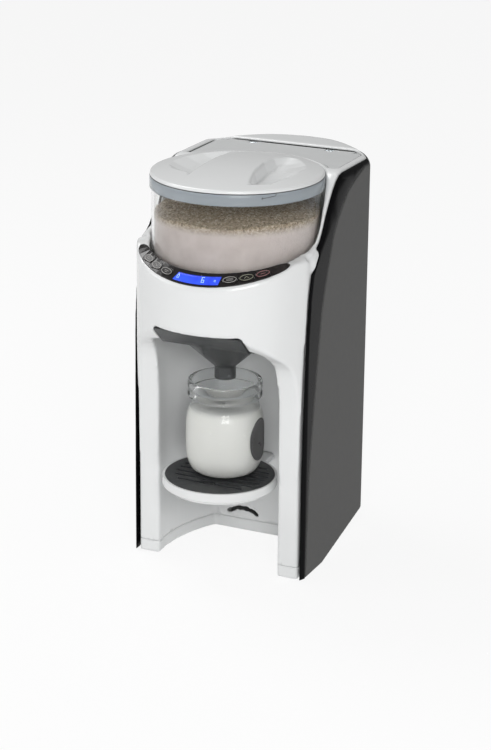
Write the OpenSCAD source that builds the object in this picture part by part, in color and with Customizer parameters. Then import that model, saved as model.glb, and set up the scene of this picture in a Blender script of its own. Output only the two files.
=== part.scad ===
// Baby formula maker: a countertop machine that stirs powder, warms water and fills a bottle.
// Lengths are in millimetres. +Z is up, the front faces -Y, and the machine is symmetric about x = 0.
// Places are written from the powder container's axis; in_frame() moves them so that the origin is
// the centre of the footprint, on the surface that the machine stands on.

/* [Body] */
// Radius of the round front of the body
front_r = 94.6; // [92:0.2:98]
// Radius of the rounded back of the body
back_r = 95; // [92:0.5:98]
// Distance from the container's axis to the back of the white body
back_y = 162.5; // [158:0.5:172]
// Distance from the sides of the round front to the flat sides under the side panels
side_cut = 9.3; // [6.6:0.1:9.8]
// Thickness of the side panels and of their trim
panel_t = 3.1; // [2.4:0.1:4]
// Thickness of the back cover's skin outside the body
cover_skin_t = 1.1; // [0.8:0.1:2]
// Wall thickness of the white mouldings
wall = 3; // [2.4:0.2:3.4]
// Height of the top deck
deck_z = 377; // [374:1:384]
// Height of the shoulders on both sides of the control panel
shoulder_z = 311.2; // [309:0.2:314]
// Height of the lower edge of the front face
chin_z = 245; // [243:1:248]
// Place of the front of the legs, from the container's axis
nose_y = -38; // [-42:0.5:-36]
// Height of the seam between the base and the housing
seam_z = 13.5; // [11:0.5:18]

/* [Base] */
// Height of the base's underside above the surface
base_gap = 1; // [0.6:0.1:2]
// Thickness of the base's floor and walls
base_t = 2.5; // [2:0.25:3]
// Rise of the side panels' lower edge behind the legs, in mm per mm
tail_rise = 0.225; // [0.15:0.01:0.25]
// Rise of the base's flanks towards the sides, in mm per mm
flank_rise = 1.2; // [0.9:0.05:1.5]
// Place where the lower edge starts to rise
tail_y = 5; // [0:1:15]
// Radius of a rubber foot
foot_r = 8; // [6:0.5:9]
// Depth of a rubber foot inside its socket
foot_set = 1.5; // [1:0.25:2]

/* [Bottle bay] */
// Half the width of the bay at its widest
bay_half_w = 62.5; // [58:0.5:64]
// Radius of the bay's curved side walls
bay_side_r = 138.4; // [130:0.5:150]
// Place of the widest part of the bay
bay_mid_y = -20; // [-24:1:-16]
// Place of the bay's rear wall
bay_back_y = 50; // [46:1:52]
// Height of the bay's ceiling
bay_top_z = 229; // [228:0.5:231]
// Radius of the corners between ceiling and side walls
bay_corner_r = 15; // [12:0.5:15]
// Thickness of the bay's lining
liner_t = 2.2; // [1.6:0.1:2.6]

/* [Powder container] */
// Outer radius of the clear container
jar_r = 78.6; // [77.8:0.1:79]
// Wall thickness of the clear container
jar_t = 2; // [1.6:0.1:2.6]
// Radius of the well that the container stands in
well_r = 80.5; // [80.4:0.1:81]
// Height of the well's floor
well_floor_z = 259; // [258:0.5:262]
// Height of the container's rim
jar_top_z = 371; // [369:0.5:372]
// Height of the powder at the container's wall
powder_z = 345; // [310:1:350]
// Height of the powder's heap above its edge
powder_heap = 13; // [4:1:14]

/* [Container lid] */
// Radius of the lid
lid_r = 80; // [79.8:0.1:80.2]
// Height of the lid's edge
lid_edge_z = 376.5; // [375.5:0.5:378]
// Height of the lid's crown above its edge
lid_crown = 7.5; // [4:0.5:9]
// Height of the lid's clear band
band_h = 8; // [6:0.5:10]
// Half the width of the grip between the two finger scoops
grip_half_w = 28; // [22:1:32]
// Depth of the finger scoops
scoop_depth = 13; // [9:0.5:14]

/* [Control panel] */
// Height of the panel surface at the well's edge, at the front
ring_in_z = 302.6; // [300:0.2:305]
// Height of the panel surface at its outer edge, at the front
ring_out_z = 291.2; // [289:0.2:294]
// Radius of the panel surface's outer edge
ring_out_r = 92.5; // [91.5:0.1:93]
// Angle from the front at which the panel surface meets the shoulders
ring_end_a = 62; // [60:1:66]
// Depth of the bezel's edge below the panel surface
bezel_t = 3.4; // [2.8:0.2:5]
// Thickness of the black overlay
overlay_t = 0.8; // [0.6:0.1:1.2]
// Angle from the front to the first button
key_first_a = 21; // [20:0.5:22]
// Angle between buttons
key_step_a = 9.8; // [9.6:0.1:10.2]
// Length of a button
key_len = 13.4; // [12:0.2:13.6]
// Width of a button
key_w = 7.2; // [6.6:0.2:7.4]
// Travel of a button
key_travel = 0.6; // [0.4:0.1:0.8]

/* [Funnel] */
// Place of the spout's axis
spout_y = -23; // [-26:0.5:-20]
// Outer radius of the spout
spout_r = 10; // [8:0.5:11]
// Height of the spout's end
spout_end_z = 185.4; // [185.2:0.1:190]
// Height at which the cone meets the spout
cone_low_z = 197; // [194:0.5:202]
// Outer radius of the cone at its top
cone_r = 43; // [38:0.5:43.4]
// Wall thickness of the funnel
funnel_t = 1.8; // [1.4:0.1:2.2]
// Half the width of the lip
lip_half_w = 43.6; // [40:0.2:44]
// Half the width of the flange that slides in the rails
flange_half_w = 47; // [46:0.2:48]

/* [Tray] */
// Place of the tray's centre
tray_y = -33; // [-36:0.5:-33]
// Radius of the grille
grille_r = 51.6; // [48:0.2:52]
// Height of the grille's top
grille_z = 92.8; // [88:0.2:93]
// Width of the tray's rim
rim_w = 2.5; // [2:0.1:3]
// Depth of the tray's bowl
bowl_h = 12; // [10:0.5:14]
// Width of the tongue that plugs into the bay's wall
tongue_w = 36; // [30:1:40]
// Thickness of the tongue
tongue_t = 5; // [4:0.25:6]

/* [Bottle] */
// Radius of the bottle's body
bottle_r = 36.7; // [34:0.1:38]
// Height of the bottle
bottle_h = 91; // [80:0.5:91.4]
// Radius of the bottle's rim
rim_r = 34.9; // [32:0.1:35]
// Wall thickness of the bottle
bottle_t = 1.8; // [1.2:0.1:2.2]
// Height of the formula in the bottle
milk_h = 73; // [20:1:74]

/* [Water tank] */
// Half the width of the tank
tank_half_w = 75; // [70:0.5:76]
// Place of the tank's back
tank_back_y = 126; // [120:0.5:127]
// Height of the tank's underside
tank_z = 183.2; // [180:0.2:190]
// Height of the tank's rim
tank_top_z = 370; // [366:0.5:370]
// Wall thickness of the tank
tank_t = 2; // [1.6:0.1:2.6]
// Thickness of the tank's lid
tank_lid_t = 4.4; // [3.8:0.2:4.6]

/* [Drive] */
// Module of the gears
gear_m = 1; // [0.9:0.05:1]
// Teeth on the drive gear
gear_n = 40; // [36:4:40]
// Teeth on the motor's pinion
pinion_n = 16; // [14:2:18]
// Thickness of the gears
gear_t = 6.5; // [5:0.5:6.5]

/* [Hidden] */
$fn = 96;

// Clearances: between fixed pieces, between sliding pieces, around a turning shaft
fit = 0.2;
slide_gap = 0.3;
shaft_gap = 0.06;
eps = 1;

// Places that follow from the driving sizes
body_half_w = front_r - side_cut;
side_half_w = body_half_w + panel_t;
back_c = back_y - back_r;
frame_y = (front_r - back_y - cover_skin_t) / 2;
big = 400;
well_wall = 2;
neck_cut = 0.7;
jar_in_r = jar_r - jar_t;
key_r = (well_r + ring_out_r + 1) / 2;

// Curve of the top seen from the side: place along y and share of the rise from shoulder to deck
top_curve = [
    [-39, 0], [-29, 0.035], [-20, 0.07], [-12, 0.12], [-6, 0.18], [0, 0.29], [4, 0.39], [8, 0.5],
    [13, 0.61], [18, 0.71], [24, 0.82], [31, 0.92], [38, 0.98], [46, 1]
];
// Curve under the front seen from the side: place along y and drop below the front face's edge
chin_curve = [
    [-86, 0], [-78, -7.5], [-70, -15], [-62, -21.5], [-54, -27.5], [-48.5, -34], [-44.5, -43],
    [-41.5, -57], [-39.8, -77]
];
// Line where the white housing meets the black trim below the shoulder
trim_front = [[-40, 0], [-40, 94], [-38, 162], [-34, 238], [-30.5, 274], [-25.5, 296]];
// Line where the black trim meets the side panel, from the floor to the back of the deck
trim_back = [
    [-31, 0], [-27.5, 94], [-24, 128], [-13, 205], [-4.3, 257], [1.7, 275], [7.7, 292], [14, 307],
    [20, 322], [28.7, 334], [40, 345.6], [53.6, 357], [72.5, 364.5], [94, 371.5]
];

function normal_at(p, i) =
    let (d = p[min(i + 1, len(p) - 1)] - p[max(i - 1, 0)])
    [-d[1], d[0]] / norm(d);
function shifted(p, d) = [for (i = [0 : len(p) - 1]) p[i] + d * normal_at(p, i)];
function top_points() = [for (p = top_curve) [p[0], shoulder_z + p[1] * (deck_z - shoulder_z)]];
function chin_points() = concat([for (p = chin_curve) [p[0], chin_z + p[1]]], [[nose_y, 0]]);
// Height of the base's underside: flat in the middle, rising to the sides behind the legs
function under_z(x, y) = base_gap + max(0, (y - tail_y) * tail_rise + (x - side_half_w) * flank_rise);

module in_frame() {
    translate([0, frame_y, 0]) children();
}

module both_sides() {
    children();
    mirror([1, 0, 0]) children();
}

// Extrudes an outline drawn in (y, z) along x
module along_x(x0, x1) {
    translate([x0, 0, 0]) rotate([90, 0, 90]) linear_extrude(x1 - x0) children();
}

// Extrudes an outline drawn in (x, z) along y
module along_y(y0, y1) {
    translate([0, y1, 0]) rotate([90, 0, 0]) linear_extrude(y1 - y0) children();
}

module rod(r, z0, z1) {
    translate([0, 0, z0]) cylinder(r = r, h = z1 - z0);
}

module tube(r, t, z0, z1) {
    difference() {
        rod(r, z0, z1);
        rod(r - t, z0 - eps, z1 + eps);
    }
}

module block(x0, x1, y0, y1, z0, z1) {
    translate([x0, y0, z0]) cube([x1 - x0, y1 - y0, z1 - z0]);
}

// ---- Outlines of the body ----

module plan(half_w, r_front, r_back) {
    intersection() {
        union() {
            circle(r_front);
            translate([0, back_c]) circle(r_back);
            translate([-r_front, 0]) square([2 * r_front, back_c]);
        }
        translate([-half_w, -big]) square([2 * half_w, 2 * big]);
    }
}

module under_top(d) {
    p = shifted(top_points(), -d);
    along_x(-big, big) polygon(concat([[-big, -big], [-big, p[0][1]]], p, [[big, deck_z - d], [big, -big]]));
}

// Everything in front of and below the chin and the legs' fronts
module before_chin(d) {
    p = shifted(chin_points(), d);
    low = p[len(p) - 1];
    along_x(-big, big) polygon(concat([[-big, chin_z + d]], p, [[low[0], -big], [-big, -big]]));
}

// Everything that is at least d above the base's underside
module above_under(d) {
    intersection() {
        block(-big, big, -big, big, base_gap + d, 2 * big);
        above_flank(d);
        mirror([1, 0, 0]) above_flank(d);
    }
}

module above_flank(d) {
    n = [-flank_rise, -tail_rise, 1];
    translate([side_half_w, tail_y, base_gap + d])
        rotate([0, acos(n[2] / norm(n)), atan2(n[1], n[0])])
            block(-2 * big, 2 * big, -2 * big, 2 * big, 0, 2 * big);
}

// The space of the bottle bay, larger by grow on every closed side
module bay_space(grow, z_low) {
    off = bay_side_r - bay_half_w;
    r = bay_corner_r + grow;
    w = bay_half_w + grow;
    top = bay_top_z + grow;
    intersection() {
        translate([0, 0, z_low]) linear_extrude(top - z_low) intersection() {
            translate([-off, bay_mid_y]) circle(bay_side_r + grow);
            translate([off, bay_mid_y]) circle(bay_side_r + grow);
            translate([-big, bay_back_y + grow - big]) square([2 * big, big]);
        }
        along_y(-big, big) union() {
            translate([-w, z_low]) square([2 * w, top - r - z_low]);
            translate([-w + r, z_low]) square([2 * (w - r), top - z_low]);
            for (s = [-1, 1]) {
                translate([s * (w - r), top - r]) circle(r);
            }
        }
    }
}

// ---- The ring-shaped control surface at the front ----

function lerp(a, b, t) = a + (b - a) * t;
function ring_rise(a) = (1 - cos(a)) / (1 - cos(ring_end_a));
function ring_in(a) = lerp(ring_in_z, shoulder_z, ring_rise(a));
function ring_out(a) = lerp(ring_out_z, shoulder_z, ring_rise(a));
function ring_z(r, a) = lerp(ring_in(a), ring_out(a), (r - well_r) / (ring_out_r - well_r));
// The rounded lip outside the surface: how far it has dropped at a radius
function lip_drop(r, a) = max(0, r - ring_out_r) * (r - ring_out_r) * 0.6 * (1 - pow(abs(a) / ring_end_a, 4));

// A solid swept round the axis whose sections are lists of [r, z] for each angle, the same on both sides
module ring_solid(sections, angles) {
    m = len(sections[0]);
    n = len(angles);
    pts = [for (i = [0 : n - 1]) for (q = sections[i]) [q[0] * sin(angles[i]), -q[0] * cos(angles[i]), q[1]]];
    sides = [
        for (i = [0 : n - 2]) for (j = [0 : m - 1])
            let (a = i * m + j, b = i * m + (j + 1) % m)
            each angles[i] < 0 ? [[a, b, b + m], [a, b + m, a + m]] : [[a, b, a + m], [b, b + m, a + m]]
    ];
    first = [[for (j = [m - 1 : -1 : 0]) j]];
    last = [[for (j = [0 : m - 1]) (n - 1) * m + j]];
    polyhedron(pts, concat(sides, first, last));
}

// Angles of the control surface's sections, up to a number of steps on both sides of the front
function sweep_angles(steps) = [for (i = [-steps : steps]) i * 2 * ring_end_a / ring_steps];

// A slab that follows the control surface, from height h0 to height h1 above it
module ring_slab(r0, r1, h0, h1, steps) {
    angles = sweep_angles(steps);
    ring_solid([for (a = angles) [
        [r0, ring_z(r0, a) + h0], [r0, ring_z(r0, a) + h1], [r1, ring_z(r1, a) + h1], [r1, ring_z(r1, a) + h0]
    ]], angles);
}

ring_steps = 28;
// Height of the bezel's flat underside at a place along y
function bezel_low(y) =
    ring_out_z - bezel_t + (y + ring_out_r) * (shoulder_z - ring_out_z) / (ring_out_r * (1 - cos(ring_end_a)));

// The part of the housing's top that the bezel fills
module bezel_zone() {
    intersection() {
        linear_extrude(big) polygon([[0, 0], [-big * sin(ring_end_a), -big * cos(ring_end_a)], [0, -2 * big],
            [big * sin(ring_end_a), -big * cos(ring_end_a)]]);
        along_x(-big, big) polygon([[-big, bezel_low(-big)], [0, bezel_low(0)], [0, big * 2], [-big, big * 2]]);
    }
}

// ---- Buttons ----

// Direction out of the control surface at an angle from the front
function out_of_ring(a) =
    let (
        up_r = (ring_out(a) - ring_in(a)) / (ring_out_r - well_r),
        up_a = (ring_z(key_r, a + 1) - ring_z(key_r, a - 1)) / (2 * key_r * PI / 180),
        n = [-up_r * sin(a) - up_a * cos(a), up_r * cos(a) - up_a * sin(a), 1]
    )
    n / norm(n);
// Share of the way from level to tangential that the buttons' long sides turn
key_turn = 0.7;
function key_angle(side, i) = side * (key_first_a + (i - 1) * key_step_a);

// Puts its children at a button's place, with z out of the surface and x level
module at_key(a) {
    n = out_of_ring(a);
    x = cross([0, 1, 0], n) / norm(cross([0, 1, 0], n));
    y = cross(n, x);
    translate([key_r * sin(a), -key_r * cos(a), ring_z(key_r, a)])
        multmatrix([[x[0], y[0], n[0], 0], [x[1], y[1], n[1], 0], [x[2], y[2], n[2], 0]])
            rotate(key_turn * a) children();
}

module key_outline(grow) {
    r = key_w / 2 + grow;
    d = key_len / 2 - key_w / 2;
    translate([-d, -r]) square([2 * d, 2 * r]);
    for (s = [-1, 1]) {
        translate([s * d, 0]) circle(r);
    }
}

key_proud = 0.5;
key_depth = 1.6;
module key_hole(a) {
    at_key(a) translate([0, 0, -key_depth - key_travel - fit]) linear_extrude(4 * wall) key_outline(slide_gap);
}

module button(side, i) {
    color("dimgray") in_frame() at_key(key_angle(side, i))
        translate([0, 0, -key_depth]) linear_extrude(key_depth + overlay_t + key_proud) key_outline(0);
}

module all_key_holes() {
    for (s = [-1, 1], i = [1 : 3]) {
        key_hole(key_angle(s, i));
    }
}

// ---- Fastenings and feet of the base ----

screw_r = 1.5;
screw_head_r = 3;
screw_len = 14;
screw_x = body_half_w - 6.8;
screw_places = [[screw_x, 12], [screw_x, 98]];
foot_places = [[body_half_w - 11.3, -18], [body_half_w - 29.3, 112]];
post_r = 6;
chassis_z = 32;
chassis_t = 2.5;
chassis_posts = [[40, 66], [46, 136]];

module at_places(places) {
    for (p = places, s = [-1, 1]) {
        translate([s * p[0], p[1], 0]) children();
    }
}

// Height of the flat face that a screw's head bears on
function screw_seat_z(p) = under_z(p[0], p[1]) + base_t + 1;

// ---- The machine's fixed pieces ----

module housing_inside() {
    difference() {
        intersection() {
            translate([0, 0, -eps]) linear_extrude(big) plan(body_half_w - wall, front_r - wall, back_r - wall);
            under_top(wall);
        }
        before_chin(wall);
    }
}

// Outline of the tank, larger by grow all round
module tank_outline(grow) {
    difference() {
        intersection() {
            translate([-tank_half_w - grow, bay_back_y + 2 - grow])
                square([2 * (tank_half_w + grow), tank_back_y - bay_back_y - 2 + 2 * grow]);
            translate([0, back_c]) circle(back_r - 7 + grow);
        }
        circle(well_r + 7 - grow);
    }
}

cover_half_w = 66;
cover_top_z = deck_z - 10;
module rear_opening(grow) {
    block(-cover_half_w - grow, cover_half_w + grow, back_c + 40, big, -eps, cover_top_z + grow);
}

module front_housing() {
    color("white") in_frame() difference() {
        union() {
            difference() {
                intersection() {
                    linear_extrude(deck_z) plan(side_half_w, front_r, back_r);
                    under_top(0);
                }
                housing_inside();
            }
            intersection() {
                rod(well_r + well_wall, well_floor_z, deck_z);
                under_top(0);
                translate([0, 0, -eps]) linear_extrude(big) plan(body_half_w, front_r, back_r);
            }
            intersection() {
                at_places(screw_places) rod(5, 0, 60);
                translate([0, 0, -eps]) linear_extrude(big) plan(body_half_w, front_r, back_r);
            }
        }
        rod(well_r, well_floor_z - seat_t, big);
        before_chin(0);
        bay_space(0, -eps);
        block(-lip_half_w - slide_gap, lip_half_w + slide_gap, -big, nose_y - 8, 0, chin_z);
        translate([0, 0, bay_top_z]) linear_extrude(big) tank_outline(1.5);
        bezel_zone();
        both_sides() behind_trim();
        rear_opening(fit);
        difference() {
            block(-big, big, -big, big, -eps, big / 2);
            above_under(seam_z - base_gap);
        }
        at_places(screw_places) rod(screw_r - 0.2, 0, 50);
        rod(well_r + well_wall, well_floor_z - seat_t - fit, well_floor_z);
    }
}

// The space that the side panel and its trim fill
module behind_trim() {
    side = body_half_w;
    along_x(side, big) polygon(concat(trim_front, [[-12, shoulder_z], [-12, big * 2], [big, big * 2], [big, -eps], [-40, -eps]]));
}

module side_shell() {
    intersection() {
        linear_extrude(deck_z) plan(side_half_w, front_r, back_r + cover_skin_t);
        under_top(0);
        above_under(0.5);
        behind_trim();
    }
}

module behind_panel_line() {
    along_x(0, big) polygon(concat(trim_back, [[big, trim_back[len(trim_back) - 1][1]], [big, -eps], [-31, -eps]]));
}

module side_panel() {
    color("dimgray") intersection() {
        side_shell();
        behind_panel_line();
    }
}

module side_trim() {
    color("black") difference() {
        side_shell();
        behind_panel_line();
    }
}

module side_panel_right() {
    in_frame() side_panel();
}

module side_panel_left() {
    in_frame() mirror([1, 0, 0]) side_panel();
}

module side_trim_right() {
    in_frame() side_trim();
}

module side_trim_left() {
    in_frame() mirror([1, 0, 0]) side_trim();
}

inlet_half_w = 12;
inlet_half_h = 8;
inlet_z = 52;
vent_count = 7;
module rear_cover() {
    color("dimgray") in_frame() difference() {
        intersection() {
            union() {
                difference() {
                    linear_extrude(deck_z - 0.5) plan(body_half_w, front_r, back_r + cover_skin_t);
                    translate([0, 0, -eps]) linear_extrude(big) plan(side_half_w, front_r, back_r + film_gap);
                }
                intersection() {
                    difference() {
                        linear_extrude(deck_z) plan(body_half_w, front_r, back_r + cover_skin_t / 2);
                        translate([0, 0, -eps]) linear_extrude(big) plan(side_half_w, front_r, back_r - wall);
                    }
                    rear_opening(0);
                }
            }
            above_under(seam_z - base_gap + fit);
            block(-big, big, back_c + 10, big, 0, big);
        }
        block(-inlet_half_w - fit, inlet_half_w + fit, back_c, big, inlet_z - inlet_half_h - fit, inlet_z + inlet_half_h + fit);
        for (i = [0 : vent_count - 1]) {
            block(-30, 30, back_c, big, 80 + i * 8, 83.5 + i * 8);
        }
    }
}

module bay_liner() {
    slot_gap = slide_gap;
    color("gainsboro") in_frame() difference() {
        union() {
            difference() {
                bay_space(liner_t, seam_z);
                before_chin(wall + fit);
            }
            // Socket behind the rear wall that takes the tray's tongue
            block(-tongue_w / 2 - 3, tongue_w / 2 + 3, bay_back_y, bay_back_y + tongue_depth + 2, tongue_z - 3, tongue_z + tongue_t + 3);
        }
        bay_space(0, -eps);
        block(-tongue_w / 2 - slot_gap, tongue_w / 2 + slot_gap, -big, bay_back_y + tongue_depth, tongue_z - slot_gap, tongue_z + tongue_t + slot_gap);
        translate([0, chute_y, 0]) rod(chute_r + slide_gap, bay_top_z - eps, big);
        translate([nozzle_x, nozzle_y, 0]) rod(nozzle_r + slide_gap, bay_top_z - eps, big);
        lower_slot();
        above_well_seat();
    }
}

// Keeps the liner below the container's seat
module above_well_seat() {
    rod(big, well_floor_z - 10, big);
}

// The curved slot low in the bay's rear wall, where the tray hooks in for tall bottles
slot_x = -14;
slot_z = 17;
module lower_slot() {
    along_y(bay_back_y - eps, bay_back_y + liner_t + eps) intersection() {
        difference() {
            translate([slot_x, slot_z - 18]) circle(26.5);
            translate([slot_x, slot_z - 18]) circle(24);
        }
        translate([slot_x - 17, slot_z]) square([34, 20]);
    }
}

module base_plate() {
    top = seam_z - base_gap - 0.1;
    color("white") in_frame() difference() {
        union() {
            difference() {
                base_slice(0, top, 0);
                base_slice(base_t, big, base_t);
            }
            intersection() {
                base_slice(0, top, 0);
                bay_space(base_t, 0);
            }
            intersection() {
                union() {
                    at_places(foot_places) rod(foot_r + 2, 0, base_gap + foot_set + base_t);
                    for (p = screw_places) {
                        at_places([p]) rod(6, 0, screw_seat_z(p) + base_t);
                    }
                }
                base_slice(0, top, 0);
            }
        }
        bay_space(0, -eps);
        at_places(foot_places) rod(foot_r + 0.05, -eps, base_gap + foot_set);
        at_places(screw_places) rod(screw_r + 0.2, -eps, big / 2);
        for (p = screw_places) {
            at_places([p]) rod(screw_head_r + 0.4, -eps, screw_seat_z(p));
        }
    }
}

// A slice of the body's outline that follows its underside
module base_slice(d0, d1, inset) {
    intersection() {
        difference() {
            translate([0, 0, -eps]) linear_extrude(big) plan(body_half_w - inset, front_r - inset, back_r - inset);
            before_chin(inset);
        }
        above_under(d0);
        difference() {
            block(-big, big, -big, big, -eps, big);
            above_under(d1);
        }
    }
}

module rubber_feet() {
    color("black") in_frame() at_places(foot_places) rod(foot_r, 0, base_gap + foot_set);
}

module base_screws() {
    color("silver") in_frame() for (p = screw_places) {
        at_places([p]) {
            rod(screw_r - 0.25, screw_seat_z(p) - 0.5, screw_seat_z(p) + screw_len);
            rod(screw_head_r, screw_seat_z(p) - 1.8, screw_seat_z(p));
        }
    }
}

// ---- Control panel ----

// White frame that carries the overlay, with a rounded lip at its outer edge
module control_bezel() {
    angles = sweep_angles(ring_steps / 2);
    lip = [for (i = [0 : 4]) lerp(ring_out_r, front_r, i / 4)];
    color("white") in_frame() difference() {
        ring_solid([for (a = angles) concat(
            [[well_r, bezel_low(-well_r * cos(a))], [well_r, ring_in(a)]],
            [for (r = lip) [r, ring_out(a) - lip_drop(r, a)]],
            [[front_r, bezel_low(-front_r * cos(a))]]
        )], angles);
        all_key_holes();
    }
}

overlay_in_r = well_r + 1.4;
overlay_out_r = ring_out_r - 0.3;
lcd_in_r = overlay_in_r + 3.7;
lcd_out_r = overlay_out_r - 1;
lcd_t = 0.5;
lcd_steps = 3;
film_gap = 0.04;
module control_overlay() {
    color("black") in_frame() difference() {
        ring_slab(overlay_in_r, overlay_out_r, film_gap, overlay_t, ring_steps / 2 - 1);
        all_key_holes();
    }
}

module lcd_window() {
    color("royalblue") in_frame() ring_slab(lcd_in_r, lcd_out_r, overlay_t + 3 * film_gap, overlay_t + lcd_t, lcd_steps);
}

membrane_t = 1.2;
module key_membrane() {
    r0 = well_r + well_wall + 0.4;
    r1 = front_r - wall - 0.6;
    angles = sweep_angles(ring_steps / 2 - 3);
    color("darkslategray") in_frame() ring_solid([for (a = angles) [
        [r0, bezel_low(-r0 * cos(a)) - membrane_t - 0.1], [r0, bezel_low(-r0 * cos(a)) - 0.1],
        [r1, bezel_low(-r1 * cos(a)) - 0.1], [r1, bezel_low(-r1 * cos(a)) - membrane_t - 0.1]
    ]], angles);
}

board_z = ring_out_z - 22;
module control_board() {
    t = 1.6;
    a = 46;
    color("darkgreen") in_frame() intersection() {
        tube(front_r - wall - 0.2, front_r - wall - 0.2 - well_r - well_wall - 0.4, board_z, board_z + t);
        linear_extrude(big) polygon([[0, 0], [-big * tan(a), -big], [big * tan(a), -big]]);
    }
}

// ---- Drive under the container ----

chute_y = -32;
chute_r = 10;
chute_t = 2;
seat_t = 3;
gear_top_z = well_floor_z - seat_t - 1;
gear_hub_r = 6;
dog_r = 5;
dog_top_z = well_floor_z + 6.5;
motor_a = 150;
gear_gap = 0.15;
motor_dist = gear_m * (gear_n + pinion_n) / 2 + gear_gap;
motor_x = motor_dist * cos(motor_a);
motor_y = motor_dist * sin(motor_a);
motor_r = 13;
motor_h = 13.5;
motor_shaft_r = 1.5;
motor_top_z = gear_top_z - gear_t - 0.7;
motor_ear = 17;

module container_seat() {
    color("lightgray") in_frame() difference() {
        union() {
            rod(well_r + well_wall - fit, well_floor_z - seat_t, well_floor_z - fit);
            translate([0, chute_y, 0]) rod(chute_r, bay_top_z + 0.6, well_floor_z - seat_t + eps);
            rod(well_r - fit, well_floor_z - seat_t, well_floor_z);
            rod(gear_hub_r + 3, gear_top_z + 0.4, well_floor_z - seat_t + eps);
        }
        translate([0, chute_y, 0]) rod(chute_r - chute_t, 0, big);
        rod(gear_hub_r + shaft_gap, 0, big);
    }
}

// Spur gear with straight-flanked teeth, a tooth centred on angle 0
module spur(n, m) {
    step = 360 / n;
    root = m * (n / 2 - 1.25);
    tip = m * (n / 2 + 0.95);
    shares = [[-0.27, root], [-0.1, tip], [0.1, tip], [0.27, root]];
    polygon([for (i = [0 : n - 1]) for (s = shares) s[1] * [cos((i + s[0]) * step), sin((i + s[0]) * step)]]);
}

module drive_gear() {
    color("ivory") in_frame() {
        translate([0, 0, gear_top_z - gear_t]) linear_extrude(gear_t) rotate(motor_a) spur(gear_n, gear_m);
        rod(gear_hub_r, gear_top_z - eps / 2, well_floor_z + 0.5);
        translate([0, 0, well_floor_z]) cylinder(r = dog_r, h = dog_top_z - well_floor_z, $fn = 6);
    }
}

module motor_pinion() {
    color("goldenrod") in_frame() translate([motor_x, motor_y, 0]) {
        translate([0, 0, gear_top_z - gear_t]) linear_extrude(gear_t)
            rotate(motor_a + 180 + 180 / pinion_n) spur(pinion_n, gear_m);
        rod(motor_shaft_r, motor_top_z - 8, gear_top_z - gear_t + eps / 2);
    }
}

module gear_motor() {
    color("silver") in_frame() translate([motor_x, motor_y, 0]) difference() {
        union() {
            rod(motor_r, motor_top_z - motor_h, motor_top_z);
            rotate(motor_a + 90) {
                block(-motor_ear - 4, motor_ear + 4, -5, 5, motor_top_z - 2, motor_top_z);
                for (s = [-1, 1]) {
                    translate([s * motor_ear, 0, 0]) rod(3, motor_top_z - 2, well_floor_z - seat_t);
                }
            }
        }
        rod(motor_shaft_r + shaft_gap, motor_top_z - 9, big);
    }
}

// ---- Powder container ----

jar_floor_z = well_floor_z + 5;
jar_floor_t = 3;
hub_r = 9;
wheel_low_z = jar_floor_z + jar_floor_t + 0.3;
wheel_h = 6;
powder_low_z = wheel_low_z + wheel_h + 1;

module container_jar() {
    color("lightcyan", 0.4) in_frame() difference() {
        tube(jar_r, jar_t, jar_floor_z - 2, jar_top_z);
        difference() {
            rod(jar_r + eps, jar_top_z - band_h - 0.6, big);
            rod(jar_r - neck_cut, 0, big);
        }
    }
}

module container_floor() {
    color("white") in_frame() difference() {
        union() {
            rod(jar_in_r, jar_floor_z, jar_floor_z + jar_floor_t);
            tube(jar_in_r, 5, well_floor_z + fit, jar_floor_z + eps / 2);
            translate([0, chute_y, 0]) rod(chute_r, well_floor_z + fit, jar_floor_z + eps / 2);
        }
        translate([0, chute_y, 0]) rod(chute_r - chute_t, 0, big);
        rod(hub_r + shaft_gap, 0, big);
    }
}

module powder_fill() {
    color("wheat") in_frame() rotate_extrude() polygon([
        [0, powder_low_z], [jar_in_r - 0.3, powder_low_z], [jar_in_r - 0.3, powder_z],
        [jar_in_r * 0.7, powder_z + powder_heap * 0.4], [jar_in_r * 0.4, powder_z + powder_heap * 0.8], [0, powder_z + powder_heap]
    ]);
}

arm_count = 5;
module stirring_wheel() {
    arm_r = jar_in_r - 1.5;
    color("white") in_frame() difference() {
        union() {
            rod(hub_r, well_floor_z + 1.2, wheel_low_z + wheel_h);
            tube(hub_r + 4, 5, wheel_low_z, wheel_low_z + wheel_h);
            for (i = [0 : arm_count - 1]) {
                rotate(i * 360 / arm_count + 20) block(hub_r - 1, arm_r - 1, -2, 2, wheel_low_z, wheel_low_z + wheel_h - 2);
            }
            tube(arm_r, 2.5, wheel_low_z, wheel_low_z + 3);
        }
        translate([0, 0, well_floor_z]) cylinder(r = dog_r + slide_gap, h = dog_top_z - well_floor_z + 0.5, $fn = 6);
    }
}

lid_low_z = jar_top_z + 0.3;
lid_ball_r = 150;
scoop_mid_y = 4;
scoop_mid_x = 12;
module scoop_ball(d) {
    top = lid_edge_z + lid_crown;
    translate([scoop_mid_x, scoop_mid_y, top - scoop_depth - d + lid_ball_r + d]) sphere(r = lid_ball_r + d, $fn = 128);
}

module container_lid() {
    color("white") in_frame() difference() {
        union() {
            rotate_extrude() polygon([
                [0, lid_low_z], [lid_r, lid_low_z], [lid_r, lid_edge_z - 0.6], [lid_r - 0.6, lid_edge_z],
                [lid_r * 0.75, lid_edge_z + lid_crown * 0.5], [lid_r * 0.4, lid_edge_z + lid_crown * 0.85], [0, lid_edge_z + lid_crown]
            ]);
            both_sides() intersection() {
                scoop_ball(2);
                rod(jar_in_r - 8, lid_low_z - 12, lid_low_z + 1);
                block(grip_half_w - 2, big, -big, big, 0, big);
            }
        }
        both_sides() intersection() {
            scoop_ball(0);
            block(grip_half_w, big, -big, big, 0, big);
        }
    }
}

module lid_band() {
    color("lightsteelblue", 0.7) in_frame() tube(lid_r - 0.5, lid_r - 0.5 - (jar_r - neck_cut) - 0.3, jar_top_z - band_h, lid_low_z);
}

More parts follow.
